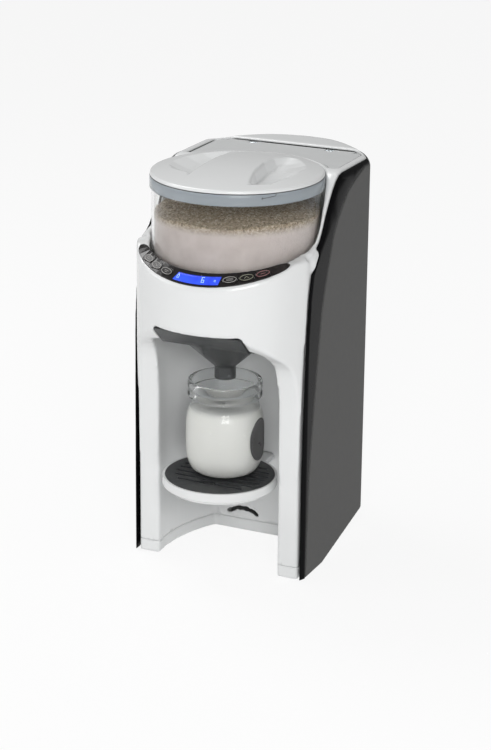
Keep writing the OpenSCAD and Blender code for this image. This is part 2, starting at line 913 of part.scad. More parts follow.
module lid_seal() {
    color("gray") in_frame() tube(jar_in_r - 0.4, 2.5, lid_low_z - 2.5, lid_low_z);
}

// ---- Funnel and what it slides in ----

flange_t = 2.3;
flange_top_z = bay_top_z - slide_gap;
flange_back_y = 22;
rail_t = 2.4;
rail_lip = 2.2;

module funnel() {
    low = flange_top_z - flange_t;
    color("dimgray", 0.8) in_frame() difference() {
        union() {
            // The lip that closes the gap under the front face
            intersection() {
                linear_extrude(chin_z - slide_gap) circle(front_r);
                block(-lip_half_w, lip_half_w, -big, nose_y - 9, low, chin_z);
                difference() {
                    rod(big, 0, big);
                    before_chin(0);
                }
                before_chin(funnel_t);
            }
            difference() {
                block(-flange_half_w, flange_half_w, -62, flange_back_y, low, flange_top_z);
                before_chin(slide_gap);
            }
            intersection() {
                block(-lip_half_w, lip_half_w, -75, -60, low, flange_top_z);
                linear_extrude(chin_z) circle(front_r);
                difference() {
                    rod(big, 0, big);
                    before_chin(0);
                }
            }
            translate([0, spout_y, 0]) {
                translate([0, 0, cone_low_z]) cylinder(r1 = spout_r, r2 = cone_r, h = low + 0.5 - cone_low_z);
                rod(spout_r, spout_end_z, cone_low_z + eps / 2);
            }
        }
        translate([0, spout_y, 0]) {
            translate([0, 0, cone_low_z + 0.6])
                cylinder(r1 = spout_r - funnel_t, r2 = cone_r - funnel_t, h = low + 0.5 - cone_low_z);
            rod(spout_r - funnel_t, spout_end_z - eps, cone_low_z + eps);
            rod(cone_r - funnel_t, low + 0.9, chin_z - 12);
        }
    }
}

module funnel_rail() {
    x0 = flange_half_w + slide_gap;
    low = flange_top_z - flange_t - slide_gap;
    color("gainsboro") intersection() {
        difference() {
            block(x0 - rail_lip, x0 + rail_t, -50, flange_back_y + 2, low - 2, bay_top_z);
            block(x0 - rail_lip - eps, x0, -big, big, low, bay_top_z + eps);
        }
        bay_space(0, 0);
    }
}

module funnel_rail_left() {
    in_frame() mirror([1, 0, 0]) funnel_rail();
}

module funnel_rail_right() {
    in_frame() funnel_rail();
}

nozzle_x = 24;
nozzle_y = -33;
nozzle_r = 4;
nozzle_top_z = bay_top_z + 12;
module water_nozzle() {
    color("silver") in_frame() translate([nozzle_x, nozzle_y, 0]) difference() {
        union() {
            rod(nozzle_r, bay_top_z + 0.4, nozzle_top_z);
            rod(nozzle_r + 3, bay_top_z + liner_t + 0.1, bay_top_z + liner_t + 2);
        }
        rod(1.5, 0, nozzle_top_z + eps);
    }
}

// ---- Tray and bottle ----

tray_rim_z = grille_z - 0.4;
grille_t = 2;
tongue_z = tray_rim_z - bowl_h + 1;
tongue_depth = 12;
module tray_bowl() {
    r = grille_r + rim_w;
    color("white") in_frame() difference() {
        union() {
            translate([0, tray_y, 0]) {
                rod(r, tray_rim_z - bowl_h + 4, tray_rim_z);
                translate([0, 0, tray_rim_z - bowl_h]) cylinder(r1 = r - 5, r2 = r, h = 4);
            }
            block(-tongue_w / 2, tongue_w / 2, 0, bay_back_y + tongue_depth - 0.4, tongue_z, tongue_z + tongue_t);
        }
        translate([0, tray_y, 0]) {
            rod(grille_r + 0.15, tray_rim_z - grille_t, big);
            translate([0, 0, tray_rim_z - bowl_h + 2]) cylinder(r1 = grille_r - 6, r2 = grille_r - 2, h = 3);
            rod(grille_r - 2, tray_rim_z - bowl_h + 5 - 0.01, big);
        }
    }
}

slot_w = 3.2;
slot_pitch = 9.5;
module tray_grille() {
    color("black") in_frame() translate([0, tray_y, 0]) difference() {
        rod(grille_r, tray_rim_z - grille_t, grille_z);
        for (i = [-3 : 4]) {
            len = sqrt(pow(grille_r - 9, 2) - pow(i * slot_pitch, 2));
            for (s = [-1, 1]) {
                translate([s * (len / 2 + 4), i * slot_pitch, 0]) block(-len / 2 + 5, len / 2, -slot_w / 2, slot_w / 2, 0, big);
            }
        }
        // Finger hole for lifting the grille out
        intersection() {
            translate([0, -grille_r * 0.55, 0]) rod(8, 0, big);
            block(-big, big, -grille_r * 0.55, big, 0, big);
        }
    }
}

bottle_z = grille_z + slide_gap;
// Outline of the bottle's outside from the axis outwards and up, inset by d
function bottle_points(d) =
    let (z = bottle_z, h = bottle_h, r = bottle_r, n = rim_r - 3.1)
    [
        [r * 0.55, z + d], [r * 0.75, z + 2 + d], [r * 0.9, z + 7 + d * 0.6], [r - 0.9 - d, z + 16], [r - d, z + 26],
        [r - d, z + h * 0.47], [r - 0.6 - d, z + h * 0.55], [rim_r - d, z + h * 0.62],
        [rim_r - 1.5 - d, z + h * 0.68], [n - d, z + h * 0.75], [n - d, z + h * 0.83]
    ];
module grip_ball(d) {
    ball_r = 28;
    depth = 5;
    for (s = [-1, 1]) {
        translate([s * (bottle_r - depth + ball_r), spout_y, bottle_z + bottle_h * 0.4]) sphere(r = ball_r + d);
    }
}

module bottle() {
    z = bottle_z;
    n = rim_r - 3.1;
    color("whitesmoke", 0.6) in_frame() difference() {
        translate([0, spout_y, 0]) rotate_extrude() polygon(concat([[0, z]], bottle_points(0), [
            [rim_r, z + bottle_h * 0.86], [rim_r, z + bottle_h * 0.9], [rim_r - 1, z + bottle_h * 0.92],
            [rim_r, z + bottle_h * 0.94], [rim_r, z + bottle_h * 0.98], [rim_r - 0.8, z + bottle_h], [0, z + bottle_h]
        ]));
        difference() {
            bottle_inside(0);
            grip_ball(bottle_t);
        }
        translate([0, spout_y, 0]) rod(n - bottle_t, z + bottle_h * 0.8, big);
        grip_ball(0);
    }
}

// The bottle's hollow, smaller by d all round
module bottle_inside(d) {
    translate([0, spout_y, 0]) rotate_extrude() polygon(concat(
        [[0, bottle_z + bottle_t + d]], bottle_points(bottle_t + d), [[0, bottle_z + bottle_h * 0.83]]
    ));
}

module bottle_formula() {
    color("ivory") in_frame() difference() {
        intersection() {
            bottle_inside(0.1);
            rod(big, 0, bottle_z + milk_h);
        }
        grip_ball(bottle_t + 0.1);
    }
}

// ---- Water path ----

tank_floor_t = 3;
boss_y = 106;
boss_r = 9;
valve_r = 3;
valve_lift = 3;
seat_top_z = tank_z - fit;
valve_disc_r = 6.5;

module water_tank() {
    color("lightblue", 0.4) in_frame() difference() {
        union() {
            translate([0, 0, tank_z]) linear_extrude(tank_top_z - tank_z) tank_outline(0);
            translate([0, boss_y, 0]) rod(boss_r, tank_z - 6, tank_z + eps);
            for (s = [-1, 1]) {
                translate([s * hinge_x, 0, 0])
                    block(-hinge_w / 2, hinge_w / 2, hinge_y - 3, tank_back_y, tank_top_z - 4, hinge_z + 1.8);
            }
        }
        translate([0, 0, tank_z + tank_floor_t]) linear_extrude(big / 2) tank_outline_inside();
        translate([0, boss_y, 0]) rod(valve_r + 0.4, 0, tank_z + tank_floor_t + eps);
        along_x(-big, big) translate([hinge_y, hinge_z]) circle(pin_r + shaft_gap);
    }
}

module tank_outline_inside() {
    difference() {
        tank_outline(-tank_t);
        for (s = [-1, 1]) {
            translate([s * hinge_x - hinge_w / 2, hinge_y - 3]) square([hinge_w, 20]);
        }
    }
}

hinge_x = 40;
hinge_w = 8;
pin_r = 1.4;
lid_gap = 0.5;
hinge_y = tank_back_y - 2.4;
hinge_z = tank_top_z + lid_gap + tank_lid_t / 2;
// Half the length of the lid's rounded rear edge, and how far its corners are cut in front of the hinge
barrel_half_w = sqrt(pow(back_r - 7, 2) - pow(tank_back_y - back_c, 2)) - 0.5;
corner_cut = 6;
module tank_lid() {
    color("gainsboro") in_frame() {
        difference() {
            union() {
                translate([0, 0, tank_top_z + lid_gap]) linear_extrude(tank_lid_t) intersection() {
                    tank_outline(0);
                    union() {
                        translate([-big, hinge_y - corner_cut - big]) square([2 * big, big]);
                        translate([-barrel_half_w, hinge_y - big]) square([2 * barrel_half_w, big]);
                    }
                }
                along_x(-barrel_half_w, barrel_half_w) translate([hinge_y, hinge_z]) circle(tank_lid_t / 2);
            }
            for (s = [-1, 1]) {
                translate([s * hinge_x, 0, 0])
                    block(-hinge_w / 2 - 0.5, hinge_w / 2 + 0.5, hinge_y - 6, big, 0, big * 2);
            }
        }
        for (s = [-1, 1]) {
            along_x(s * hinge_x - hinge_w / 2 - 1, s * hinge_x + hinge_w / 2 + 1) translate([hinge_y, hinge_z]) circle(pin_r);
        }
    }
}

module tank_valve() {
    color("orangered") in_frame() translate([0, boss_y, 0]) {
        rod(valve_r, seat_top_z - 1, tank_z + tank_floor_t + valve_lift + 0.5);
        rod(valve_disc_r, tank_z + tank_floor_t + valve_lift + 0.3, tank_z + tank_floor_t + valve_lift + 2.3);
    }
}

column_places = [[66, 62], [46, 136]];
seat_plate_t = 3;
cup_r = boss_r + 0.4;
module tank_seat() {
    low = seat_top_z - seat_plate_t;
    color("lightgray") in_frame() difference() {
        union() {
            translate([0, 0, low]) linear_extrude(seat_plate_t) intersection() {
                plan(body_half_w - wall - 0.4, front_r, back_r - wall - 3);
                translate([-big, bay_back_y + liner_t + 0.5]) square([2 * big, back_y]);
            }
            translate([0, boss_y, 0]) rod(cup_r + 2, low - 10, seat_top_z);
            translate([0, boss_y, 0]) rod(4, low - 22, low - 9);
        }
        translate([0, boss_y, 0]) difference() {
            rod(cup_r, low - 8, big);
            rod(2, 0, seat_top_z - 1.1);
        }
        for (a = [0, 120, 240]) {
            translate([0, boss_y, 0]) rotate(a) translate([4.5, 0, 0]) rod(1.2, low - 10 - eps, low - 7);
        }
        translate([0, boss_y, 0]) rod(2, low - 22 - eps, low - 12);
        translate([heater_x, rise_y, 0]) rod(tube_r + 0.6, low - eps, big);
    }
}

module chassis() {
    color("slategray") in_frame() union() {
        translate([0, 0, chassis_z]) linear_extrude(chassis_t) intersection() {
            plan(71, front_r, back_r - wall - 4);
            translate([-big, bay_back_y + 6]) square([2 * big, back_y]);
        }
        at_places(column_places) rod(5, chassis_z, seat_top_z - seat_plate_t);
        at_places(chassis_posts) rod(post_r, base_gap + base_t + fit, chassis_z + eps);
    }
}

pump_x = 22;
pump_y = 84;
pump_r = 15;
pump_z = chassis_z + chassis_t + pump_r + 2;
heater_x = -36;
heater_y = 96;
heater_r = 20;
heater_h = 78;
tube_r = 3.5;
tube_bore_r = 2;
deck_low = chassis_z + chassis_t;

module water_pump() {
    color("gray") in_frame() {
        along_x(pump_x - 22, pump_x + 22) translate([pump_y, pump_z]) circle(pump_r);
        block(pump_x - 14, pump_x + 14, pump_y - 12, pump_y + 12, deck_low, pump_z - 8);
        translate([pump_x - 12, pump_y, 0]) rod(4, pump_z, pump_z + pump_r + 5);
        translate([pump_x + 12, pump_y, 0]) rod(4, pump_z, pump_z + pump_r + 5);
    }
}

module water_heater() {
    color("silver") in_frame() translate([heater_x, heater_y, 0]) {
        rod(heater_r, deck_low + 5, deck_low + 5 + heater_h);
        for (a = [0 : 90 : 270]) {
            rotate(a) translate([heater_r - 5, 0, 0]) rod(3, deck_low, deck_low + 6);
        }
        translate([0, 8, 0]) rod(4, deck_low + heater_h, deck_low + heater_h + 12);
        translate([0, -8, 0]) rod(4, deck_low + heater_h, deck_low + heater_h + 12);
    }
}

// Rounds the corners of a route
function rounded(p) = concat([p[0]], [for (i = [0 : len(p) - 2]) each [lerp(p[i], p[i + 1], 0.25), lerp(p[i], p[i + 1], 0.75)]],
    [p[len(p) - 1]]);
function unit(v) = v / norm(v);

// A hose along a route, as rings that stay square to it; side is a direction that no stretch runs along
hose_sides = 8;
module hose(points, r, side) {
    p = rounded(rounded(points));
    n = len(p);
    rings = [
        for (i = [0 : n - 1])
            let (
                t = unit(p[min(i + 1, n - 1)] - p[max(i - 1, 0)]),
                u = unit(cross(t, side)),
                v = cross(t, u)
            )
            each [for (k = [0 : hose_sides - 1]) p[i] + r * (u * cos(k * 360 / hose_sides) + v * sin(k * 360 / hose_sides))]
    ];
    walls = [
        for (i = [0 : n - 2], k = [0 : hose_sides - 1])
            let (a = i * hose_sides + k, b = i * hose_sides + (k + 1) % hose_sides)
            each [[a, b, b + hose_sides], [a, b + hose_sides, a + hose_sides]]
    ];
    polyhedron(rings, concat(
        walls,
        [[for (k = [hose_sides - 1 : -1 : 0]) k]],
        [[for (k = [0 : hose_sides - 1]) (n - 1) * hose_sides + k]]
    ));
}

hose_z = bay_top_z + 9;
cup_low_z = seat_top_z - seat_plate_t - 22;
pump_port_z = pump_z + pump_r + 5;
heater_port_z = deck_low + heater_h + 12;
rise_y = bay_back_y + liner_t + 8;
hose_routes = [
    [[0, boss_y, cup_low_z], [0, boss_y, 130], [pump_x - 12, pump_y, pump_port_z + 16], [pump_x - 12, pump_y, pump_port_z]],
    [
        [pump_x + 12, pump_y, pump_port_z], [pump_x + 12, pump_y, 136], [heater_x, heater_y + 8, 150],
        [heater_x, heater_y + 8, heater_port_z]
    ],
    [
        [heater_x, heater_y - 8, heater_port_z], [heater_x, heater_y - 8, heater_port_z + 14], [heater_x, rise_y, 150],
        [heater_x, rise_y, hose_z - 12], [heater_x + 12, rise_y - 2, hose_z], [nozzle_x, 30, hose_z],
        [nozzle_x, nozzle_y, hose_z + 10], [nozzle_x, nozzle_y, nozzle_top_z]
    ]
];
module water_tubing() {
    color("whitesmoke") in_frame() for (route = hose_routes) {
        hose(route, tube_r, [1, 0.35, 0.2]);
    }
}

module power_board() {
    x = 62;
    t = 1.6;
    color("darkgreen") in_frame() {
        block(x, x + t, 70, 124, deck_low, deck_low + 70);
        block(x - 22, x, 84, 112, deck_low + 38, deck_low + 60);
        translate([0, 77, deck_low + 58]) rotate([0, 90, 0]) rod(6, x - 20, x);
        block(x - 14, x, 114, 122, deck_low + 30, deck_low + 50);
    }
}

module power_inlet() {
    y1 = back_y - 0.2;
    color("black") in_frame() {
        difference() {
            union() {
                block(-inlet_half_w, inlet_half_w, y1 - 17, y1, inlet_z - inlet_half_h, inlet_z + inlet_half_h);
                block(-inlet_half_w - 3, inlet_half_w + 3, y1 - 6.5, y1 - 4.5, inlet_z - inlet_half_h - 3, inlet_z + inlet_half_h + 3);
            }
            along_y(y1 - 12, y1 + eps) translate([0, inlet_z]) {
                for (s = [-1, 1]) {
                    translate([s * 4.3, 0]) circle(4);
                }
                translate([-4.3, -3]) square([8.6, 6]);
            }
        }
        for (s = [-1, 1]) {
            along_y(y1 - 13, y1 - 3) translate([s * 4.3, inlet_z]) circle(1.2);
        }
    }
}

// ---- Buttons ----

module button_left_1() {
    button(-1, 1);
}

module button_left_2() {
    button(-1, 2);
}

module button_left_3() {
    button(-1, 3);
}

module button_right_1() {
    button(1, 1);
}

module button_right_2() {
    button(1, 2);
}

module button_right_3() {
    button(1, 3);
}

front_housing();
bay_liner();
base_plate();
rubber_feet();
base_screws();
side_panel_left();
side_panel_right();
side_trim_left();
side_trim_right();
rear_cover();
control_bezel();
control_overlay();
lcd_window();
key_membrane();
control_board();
container_seat();
gear_motor();
funnel_rail_left();
funnel_rail_right();
water_nozzle();
chassis();
tank_seat();
water_pump();
water_heater();
water_tubing();
power_board();
power_inlet();
container_jar();
container_floor();
powder_fill();
container_lid();
lid_band();
lid_seal();
stirring_wheel();
drive_gear();
motor_pinion();
funnel();
tray_bowl();
tray_grille();
bottle();
bottle_formula();
water_tank();
tank_lid();
tank_valve();
button_left_1();
button_left_2();
button_left_3();
button_right_1();
button_right_2();
button_right_3();
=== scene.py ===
import math

import bmesh
import bpy
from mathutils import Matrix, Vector, noise as noise_lib


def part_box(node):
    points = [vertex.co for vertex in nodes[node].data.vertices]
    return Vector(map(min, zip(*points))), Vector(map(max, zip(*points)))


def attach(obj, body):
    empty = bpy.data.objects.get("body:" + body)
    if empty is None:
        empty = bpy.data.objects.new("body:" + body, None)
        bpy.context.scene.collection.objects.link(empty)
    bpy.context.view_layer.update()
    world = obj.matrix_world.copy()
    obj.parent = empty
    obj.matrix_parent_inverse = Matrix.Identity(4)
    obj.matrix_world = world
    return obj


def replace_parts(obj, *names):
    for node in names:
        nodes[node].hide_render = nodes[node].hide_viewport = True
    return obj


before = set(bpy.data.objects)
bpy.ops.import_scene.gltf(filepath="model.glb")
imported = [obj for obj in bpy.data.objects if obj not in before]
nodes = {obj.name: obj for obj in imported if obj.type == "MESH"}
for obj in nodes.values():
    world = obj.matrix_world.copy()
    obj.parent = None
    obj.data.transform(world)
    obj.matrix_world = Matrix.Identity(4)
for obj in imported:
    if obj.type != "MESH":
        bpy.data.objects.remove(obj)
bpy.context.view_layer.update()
scene = bpy.context.scene
scene.view_settings.view_transform = "Standard"

MM = 0.001
FRAME_Y = -34.5  # the container's axis along y, in the frame of the part


# ---------------------------------------------------------------- node materials

def new_material(name):
    """A material of one Principled shader."""
    m = bpy.data.materials.new(name)
    m.use_nodes = True
    nt = m.node_tree
    nt.nodes.clear()
    out = nt.nodes.new("ShaderNodeOutputMaterial")
    bsdf = nt.nodes.new("ShaderNodeBsdfPrincipled")
    nt.links.new(bsdf.outputs[0], out.inputs[0])
    return m, nt, bsdf


def add(nt, kind, **sockets):
    """A new node with its sockets set."""
    n = nt.nodes.new(kind)
    for key, value in sockets.items():
        n.inputs[key.replace("_", " ")].default_value = value
    return n


def object_coords(nt):
    return nt.nodes.new("ShaderNodeTexCoord").outputs["Object"]


def noise(nt, scale, detail=2.0, rough=0.5):
    """Noise laid on the object's own coordinates."""
    n = add(nt, "ShaderNodeTexNoise", Scale=scale, Detail=detail, Roughness=rough)
    nt.links.new(object_coords(nt), n.inputs["Vector"])
    return n.outputs["Fac"]


def math_node(nt, operation, a, b=None, value=None):
    n = nt.nodes.new("ShaderNodeMath")
    n.operation = operation
    nt.links.new(a, n.inputs[0])
    if b is not None:
        nt.links.new(b, n.inputs[1])
    else:
        n.inputs[1].default_value = value
    return n.outputs[0]


def ramp(nt, fac, stops, ease="LINEAR"):
    """Colours along a factor."""
    n = nt.nodes.new("ShaderNodeValToRGB")
    n.color_ramp.interpolation = ease
    e = n.color_ramp.elements
    while len(e) < len(stops):
        e.new(0.5)
    for i, (at, col) in enumerate(stops):
        e[i].position = at
        e[i].color = (*col, 1.0) if len(col) == 3 else col
    nt.links.new(fac, n.inputs[0])
    return n.outputs[0]


def grey(v):
    return (v, v, v)


def bump(nt, bsdf, height, strength, distance, edge=0.0):
    """Bump from a height, on top of edges rounded in the shading by the radius edge."""
    b = add(nt, "ShaderNodeBump", Strength=strength, Distance=distance)
    nt.links.new(height, b.inputs["Height"])
    if edge:
        r = nt.nodes.new("ShaderNodeBevel")
        r.samples = 6
        r.inputs["Radius"].default_value = edge
        nt.links.new(r.outputs[0], b.inputs["Normal"])
    nt.links.new(b.outputs[0], bsdf.inputs["Normal"])


def plastic(name, col, rough, mottle=0.03, grain=900.0, grain_depth=0.00002, grain_strength=0.25,
            edge=0.0006, coat=0.0, coat_rough=0.05, specular=0.5, uneven=0.1):
    """Moulded plastic: faint mottle of colour and gloss, fine moulded grain, softened edges."""
    m, nt, b = new_material(name)
    big = noise(nt, 35.0, 3.0)
    dark = tuple(c * (1 - mottle) for c in col)
    light = tuple(min(1.0, c * (1 + mottle)) for c in col)
    nt.links.new(ramp(nt, big, [(0.3, dark), (0.7, light)]), b.inputs["Base Color"])
    fine = noise(nt, 160.0, 2.0)
    low, high = grey(rough * (1 - uneven)), grey(min(1.0, rough * (1 + uneven)))
    nt.links.new(ramp(nt, fine, [(0.3, low), (0.7, high)]), b.inputs["Roughness"])
    b.inputs["Specular IOR Level"].default_value = specular
    b.inputs["Coat Weight"].default_value = coat
    b.inputs["Coat Roughness"].default_value = coat_rough
    bump(nt, b, noise(nt, grain, 2.0, 0.6), grain_strength, grain_depth, edge)
    return m


def clear(name, col, rough, ior=1.45, weight=1.0, alpha=1.0):
    """Clear moulded plastic with a little unevenness in its gloss."""
    m, nt, b = new_material(name)
    b.inputs["Base Color"].default_value = (*col, 1.0)
    b.inputs["Transmission Weight"].default_value = weight
    b.inputs["IOR"].default_value = ior
    b.inputs["Alpha"].default_value = alpha
    fine = noise(nt, 60.0, 2.0)
    nt.links.new(ramp(nt, fine, [(0.3, grey(rough)), (0.8, grey(rough + 0.03))]), b.inputs["Roughness"])
    return m


def metal(name, col, rough):
    """Metal with a fine mottle of colour and gloss."""
    m, nt, b = new_material(name)
    b.inputs["Metallic"].default_value = 1.0
    fine = noise(nt, 220.0, 3.0)
    nt.links.new(ramp(nt, fine, [(0.25, tuple(c * 0.92 for c in col)), (0.75, col)]), b.inputs["Base Color"])
    nt.links.new(ramp(nt, fine, [(0.3, grey(rough * 0.8)), (0.7, grey(rough * 1.2))]), b.inputs["Roughness"])
    bump(nt, b, fine, 0.2, 0.00002, 0.0004)
    return m


WHITE = plastic("white_gloss", (0.78, 0.79, 0.79), 0.26, mottle=0.005, grain_strength=0.02,
                coat=0.3, uneven=0.04)
WHITE_SATIN = plastic("white_satin", (0.76, 0.77, 0.765), 0.42, mottle=0.015, edge=0.0007)
LIGHT_GREY = plastic("light_grey", (0.60, 0.61, 0.61), 0.45, mottle=0.02)
SIDE_GREY = plastic("side_grey", (0.072, 0.072, 0.070), 0.5, mottle=0.005, grain=1800.0,
                    grain_strength=0.02, specular=0.25, uneven=0.02)
TRIM_BLACK = plastic("trim_black", (0.004, 0.004, 0.0045), 0.25, mottle=0.05,
                     grain_strength=0.02, specular=0.04)
OVERLAY_BLACK = plastic("overlay_black", (0.012, 0.010, 0.010), 0.16, mottle=0.05,
                        grain_strength=0.02, edge=0.0003, specular=0.35)
GRILLE_BLACK = plastic("grille_black", (0.030, 0.032, 0.034), 0.42, mottle=0.05, edge=0.0008)
KEY_DARK = plastic("key_dark", (0.014, 0.012, 0.012), 0.25, mottle=0.05, edge=0.0003, specular=0.35)
RUBBER = plastic("rubber_black", (0.02, 0.02, 0.02), 0.75, mottle=0.1, grain=500.0, grain_strength=0.6)
SEAL = plastic("seal_grey", (0.10, 0.11, 0.12), 0.6)
BOARD = plastic("board_green", (0.01, 0.08, 0.03), 0.35, mottle=0.2, grain=300.0, grain_strength=0.4)
HOSE = plastic("hose_white", (0.70, 0.70, 0.68), 0.35)
ACETAL = plastic("acetal", (0.78, 0.74, 0.62), 0.4)
ORANGE = plastic("valve_orange", (0.70, 0.16, 0.03), 0.5)
STEEL = metal("steel", (0.62, 0.62, 0.62), 0.3)
BRASS = metal("brass", (0.65, 0.45, 0.16), 0.3)
CLEAR = clear("clear_jar", (0.96, 0.97, 0.97), 0.02, ior=1.2)
BAND = clear("band_tint", (0.52, 0.57, 0.61), 0.12, ior=1.3, weight=0.4, alpha=0.78)
TANK = clear("tank_clear", (0.86, 0.91, 0.94), 0.05, ior=1.33)
SMOKE = clear("smoke", (0.10, 0.105, 0.107), 0.22, ior=1.3, weight=0.45, alpha=0.93)
LINE_GREY = plastic("line_grey", (0.45, 0.44, 0.42), 0.5, mottle=0.05, edge=0.0)
LINE_GREEN = plastic("line_green", (0.36, 0.37, 0.27), 0.5, mottle=0.05, edge=0.0)
LINE_RED = plastic("line_red", (0.42, 0.20, 0.20), 0.5, mottle=0.05, edge=0.0)
LINE_DARK = plastic("line_dark", (0.03, 0.03, 0.032), 0.4, mottle=0.05, edge=0.0)
# Painted shade: the dark grey pads in the bottle's finger grips stand in for the shade there.
GRIP_SHADE = plastic("grip_painted_shade", (0.10, 0.10, 0.10), 0.3, mottle=0.03, edge=0.0, coat=0.3)
BOTTLE = clear("bottle_clear", (0.95, 0.96, 0.96), 0.03, ior=1.22)
LIQUID = plastic("formula", (0.70, 0.70, 0.67), 0.25, mottle=0.01, grain_strength=0.02, edge=0.0)


# Between these heights the pale powder also turns to the top's painted shade.
POWDER_CHANGE = (0.334, 0.342)  # heights between which the fine powder turns to coarse grains


def powder_material():
    """Fine pale powder below; coarse grains on top, whose browns are partly painted shade under the lid."""
    m, nt, b = new_material("powder")
    sep = nt.nodes.new("ShaderNodeSeparateXYZ")
    nt.links.new(object_coords(nt), sep.inputs[0])
    level = nt.nodes.new("ShaderNodeMapRange")
    level.inputs["From Min"].default_value = POWDER_CHANGE[0]
    level.inputs["From Max"].default_value = POWDER_CHANGE[1]
    nt.links.new(sep.outputs["Z"], level.inputs["Value"])
    low = ramp(nt, noise(nt, 70.0, 5.0), [(0.3, (0.47, 0.41, 0.385)), (0.7, (0.56, 0.50, 0.475))])
    # Painted shade: the darker browns of the top grains stand partly for the shade under the lid, laid on the
    # grains' own pattern.
    shaded_grains = [(0.35, (0.13, 0.09, 0.055)), (0.5, (0.33, 0.26, 0.18)), (0.68, (0.62, 0.54, 0.43))]
    top = ramp(nt, noise(nt, 420.0, 5.0, 0.7), shaded_grains)
    mix = nt.nodes.new("ShaderNodeMix")
    mix.data_type = "RGBA"
    nt.links.new(level.outputs[0], mix.inputs[0])
    nt.links.new(low, mix.inputs[6])
    nt.links.new(top, mix.inputs[7])
    nt.links.new(mix.outputs[2], b.inputs["Base Color"])
    b.inputs["Roughness"].default_value = 0.95
    bump(nt, b, noise(nt, 260.0, 6.0, 0.75), 0.7, 0.0012)
    return m


POWDER = powder_material()


def glowing(name, scale, detail, dark, light, strength, rough):
    """A surface that glows a little, between two colours."""
    m, nt, b = new_material(name)
    glow = ramp(nt, noise(nt, scale, detail), [(0.3, dark), (0.7, light)])
    nt.links.new(glow, b.inputs["Base Color"])
    nt.links.new(glow, b.inputs["Emission Color"])
    b.inputs["Emission Strength"].default_value = strength
    b.inputs["Roughness"].default_value = rough
    return m


LCD = glowing("lcd_blue", 90.0, 2.0, (0.02, 0.05, 0.62), (0.03, 0.09, 0.80), 0.55, 0.15)
LCD_MARK = glowing("lcd_mark", 300.0, 1.0, (0.45, 0.75, 0.95), (0.60, 0.88, 1.0), 0.4, 0.4)

NODE_MATERIALS = {
    "front_housing": WHITE, "bay_liner": WHITE, "base_plate": WHITE, "rubber_feet": RUBBER,
    "base_screws": STEEL, "side_panel_left": SIDE_GREY, "side_panel_right": SIDE_GREY,
    "side_trim_left": TRIM_BLACK, "side_trim_right": TRIM_BLACK, "rear_cover": SIDE_GREY,
    "control_bezel": WHITE, "control_overlay": OVERLAY_BLACK, "lcd_window": LCD, "key_membrane": SEAL,
    "control_board": BOARD, "container_seat": LIGHT_GREY, "gear_motor": STEEL,
    "funnel_rail_left": LIGHT_GREY, "funnel_rail_right": LIGHT_GREY, "water_nozzle": STEEL,
    "chassis": LIGHT_GREY, "tank_seat": LIGHT_GREY, "water_pump": LIGHT_GREY, "water_heater": STEEL,
    "water_tubing": HOSE, "power_board": BOARD, "power_inlet": TRIM_BLACK, "container_jar": CLEAR,
    "container_floor": WHITE_SATIN, "powder_fill": POWDER, "container_lid": WHITE, "lid_band": BAND,
    "lid_seal": SEAL, "stirring_wheel": WHITE_SATIN, "drive_gear": ACETAL, "motor_pinion": BRASS,
    "funnel": SMOKE, "tray_bowl": WHITE, "tray_grille": GRILLE_BLACK, "bottle": BOTTLE,
    "bottle_formula": LIQUID, "water_tank": TANK, "tank_lid": LIGHT_GREY, "tank_valve": ORANGE,
}
for name, obj in nodes.items():
    material = NODE_MATERIALS.get(name, KEY_DARK)
    obj.data.materials.clear()
    obj.data.materials.append(material)


# ---------------------------------------------------------------- geometry helpers

def row(x, y, z):
    """A place measured from the container's axis, in mm, as a place in the part's frame."""
    return (x * MM, (y + FRAME_Y) * MM, z * MM)


def object_of(name, mesh, material, body, smooth=True):
    """A finished piece: material, shading and body."""
    obj = bpy.data.objects.new(name, mesh)
    scene.collection.objects.link(obj)
    mesh.materials.clear()
    mesh.materials.append(material)
    mesh.polygons.foreach_set("use_smooth", [smooth] * len(mesh.polygons))
    mesh.update()
    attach(obj, body)
    return obj


def piece(name, verts, faces, material, body, slot, smooth=True):
    """A piece from points in mm, measured from the container's axis."""
    mesh = bpy.data.meshes.new(name)
    mesh.from_pydata([row(*v) for v in verts], [], faces)
    bm = bmesh.new()
    bm.from_mesh(mesh)
    bmesh.ops.remove_doubles(bm, verts=bm.verts, dist=1e-6)
    bmesh.ops.recalc_face_normals(bm, faces=bm.faces)
    bm.to_mesh(mesh)
    bm.free()
    return object_of(name, mesh, material, body, smooth)


def mesh_of(name, bm):
    """A mesh of an edited one, which is then freed."""
    mesh = bpy.data.meshes.new(name)
    bm.to_mesh(mesh)
    bm.free()
    return mesh


def closed_sweep(rings, cap=False):
    """Points and faces of rings joined one to the next. The rings close round, or their ends are capped."""
    m = len(rings[0])
    n = len(rings)
    verts = [p for r in rings for p in r]
    last = n - 1 if cap else n
    faces = []
    for i in range(last):
        this, after = i * m, (i + 1) % n * m
        faces += [(this + j, this + (j + 1) % m, after + (j + 1) % m, after + j) for j in range(m)]
    if cap:
        faces += [tuple(range(m))[::-1], tuple((n - 1) * m + j for j in range(m))]
    return verts, faces


def lathe(profile, steps=128, cx=0.0, cy=0.0):
    """A closed outline in (r, z) turned round an upright axis."""
    rings = []
    for i in range(steps):
        a = 2 * math.pi * i / steps
        rings.append([(cx + r * math.sin(a), cy - r * math.cos(a), z) for r, z in profile])
    return closed_sweep(rings)


def smooth_line(points, steps):
    """A Catmull-Rom curve through points, with steps points to each stretch."""
    p = [Vector(q) for q in points]
    p = [2 * p[0] - p[1]] + p + [2 * p[-1] - p[-2]]
    out = []
    for i in range(1, len(p) - 2):
        for k in range(steps):
            t = k / steps
            slope = p[i + 1] - p[i - 1]
            bend = 2 * p[i - 1] - 5 * p[i] + 4 * p[i + 1] - p[i + 2]
            turn = 3 * p[i] - p[i - 1] - 3 * p[i + 1] + p[i + 2]
            out.append(0.5 * (2 * p[i] + slope * t + bend * t * t + turn * t ** 3))
    return out + [p[-2]]


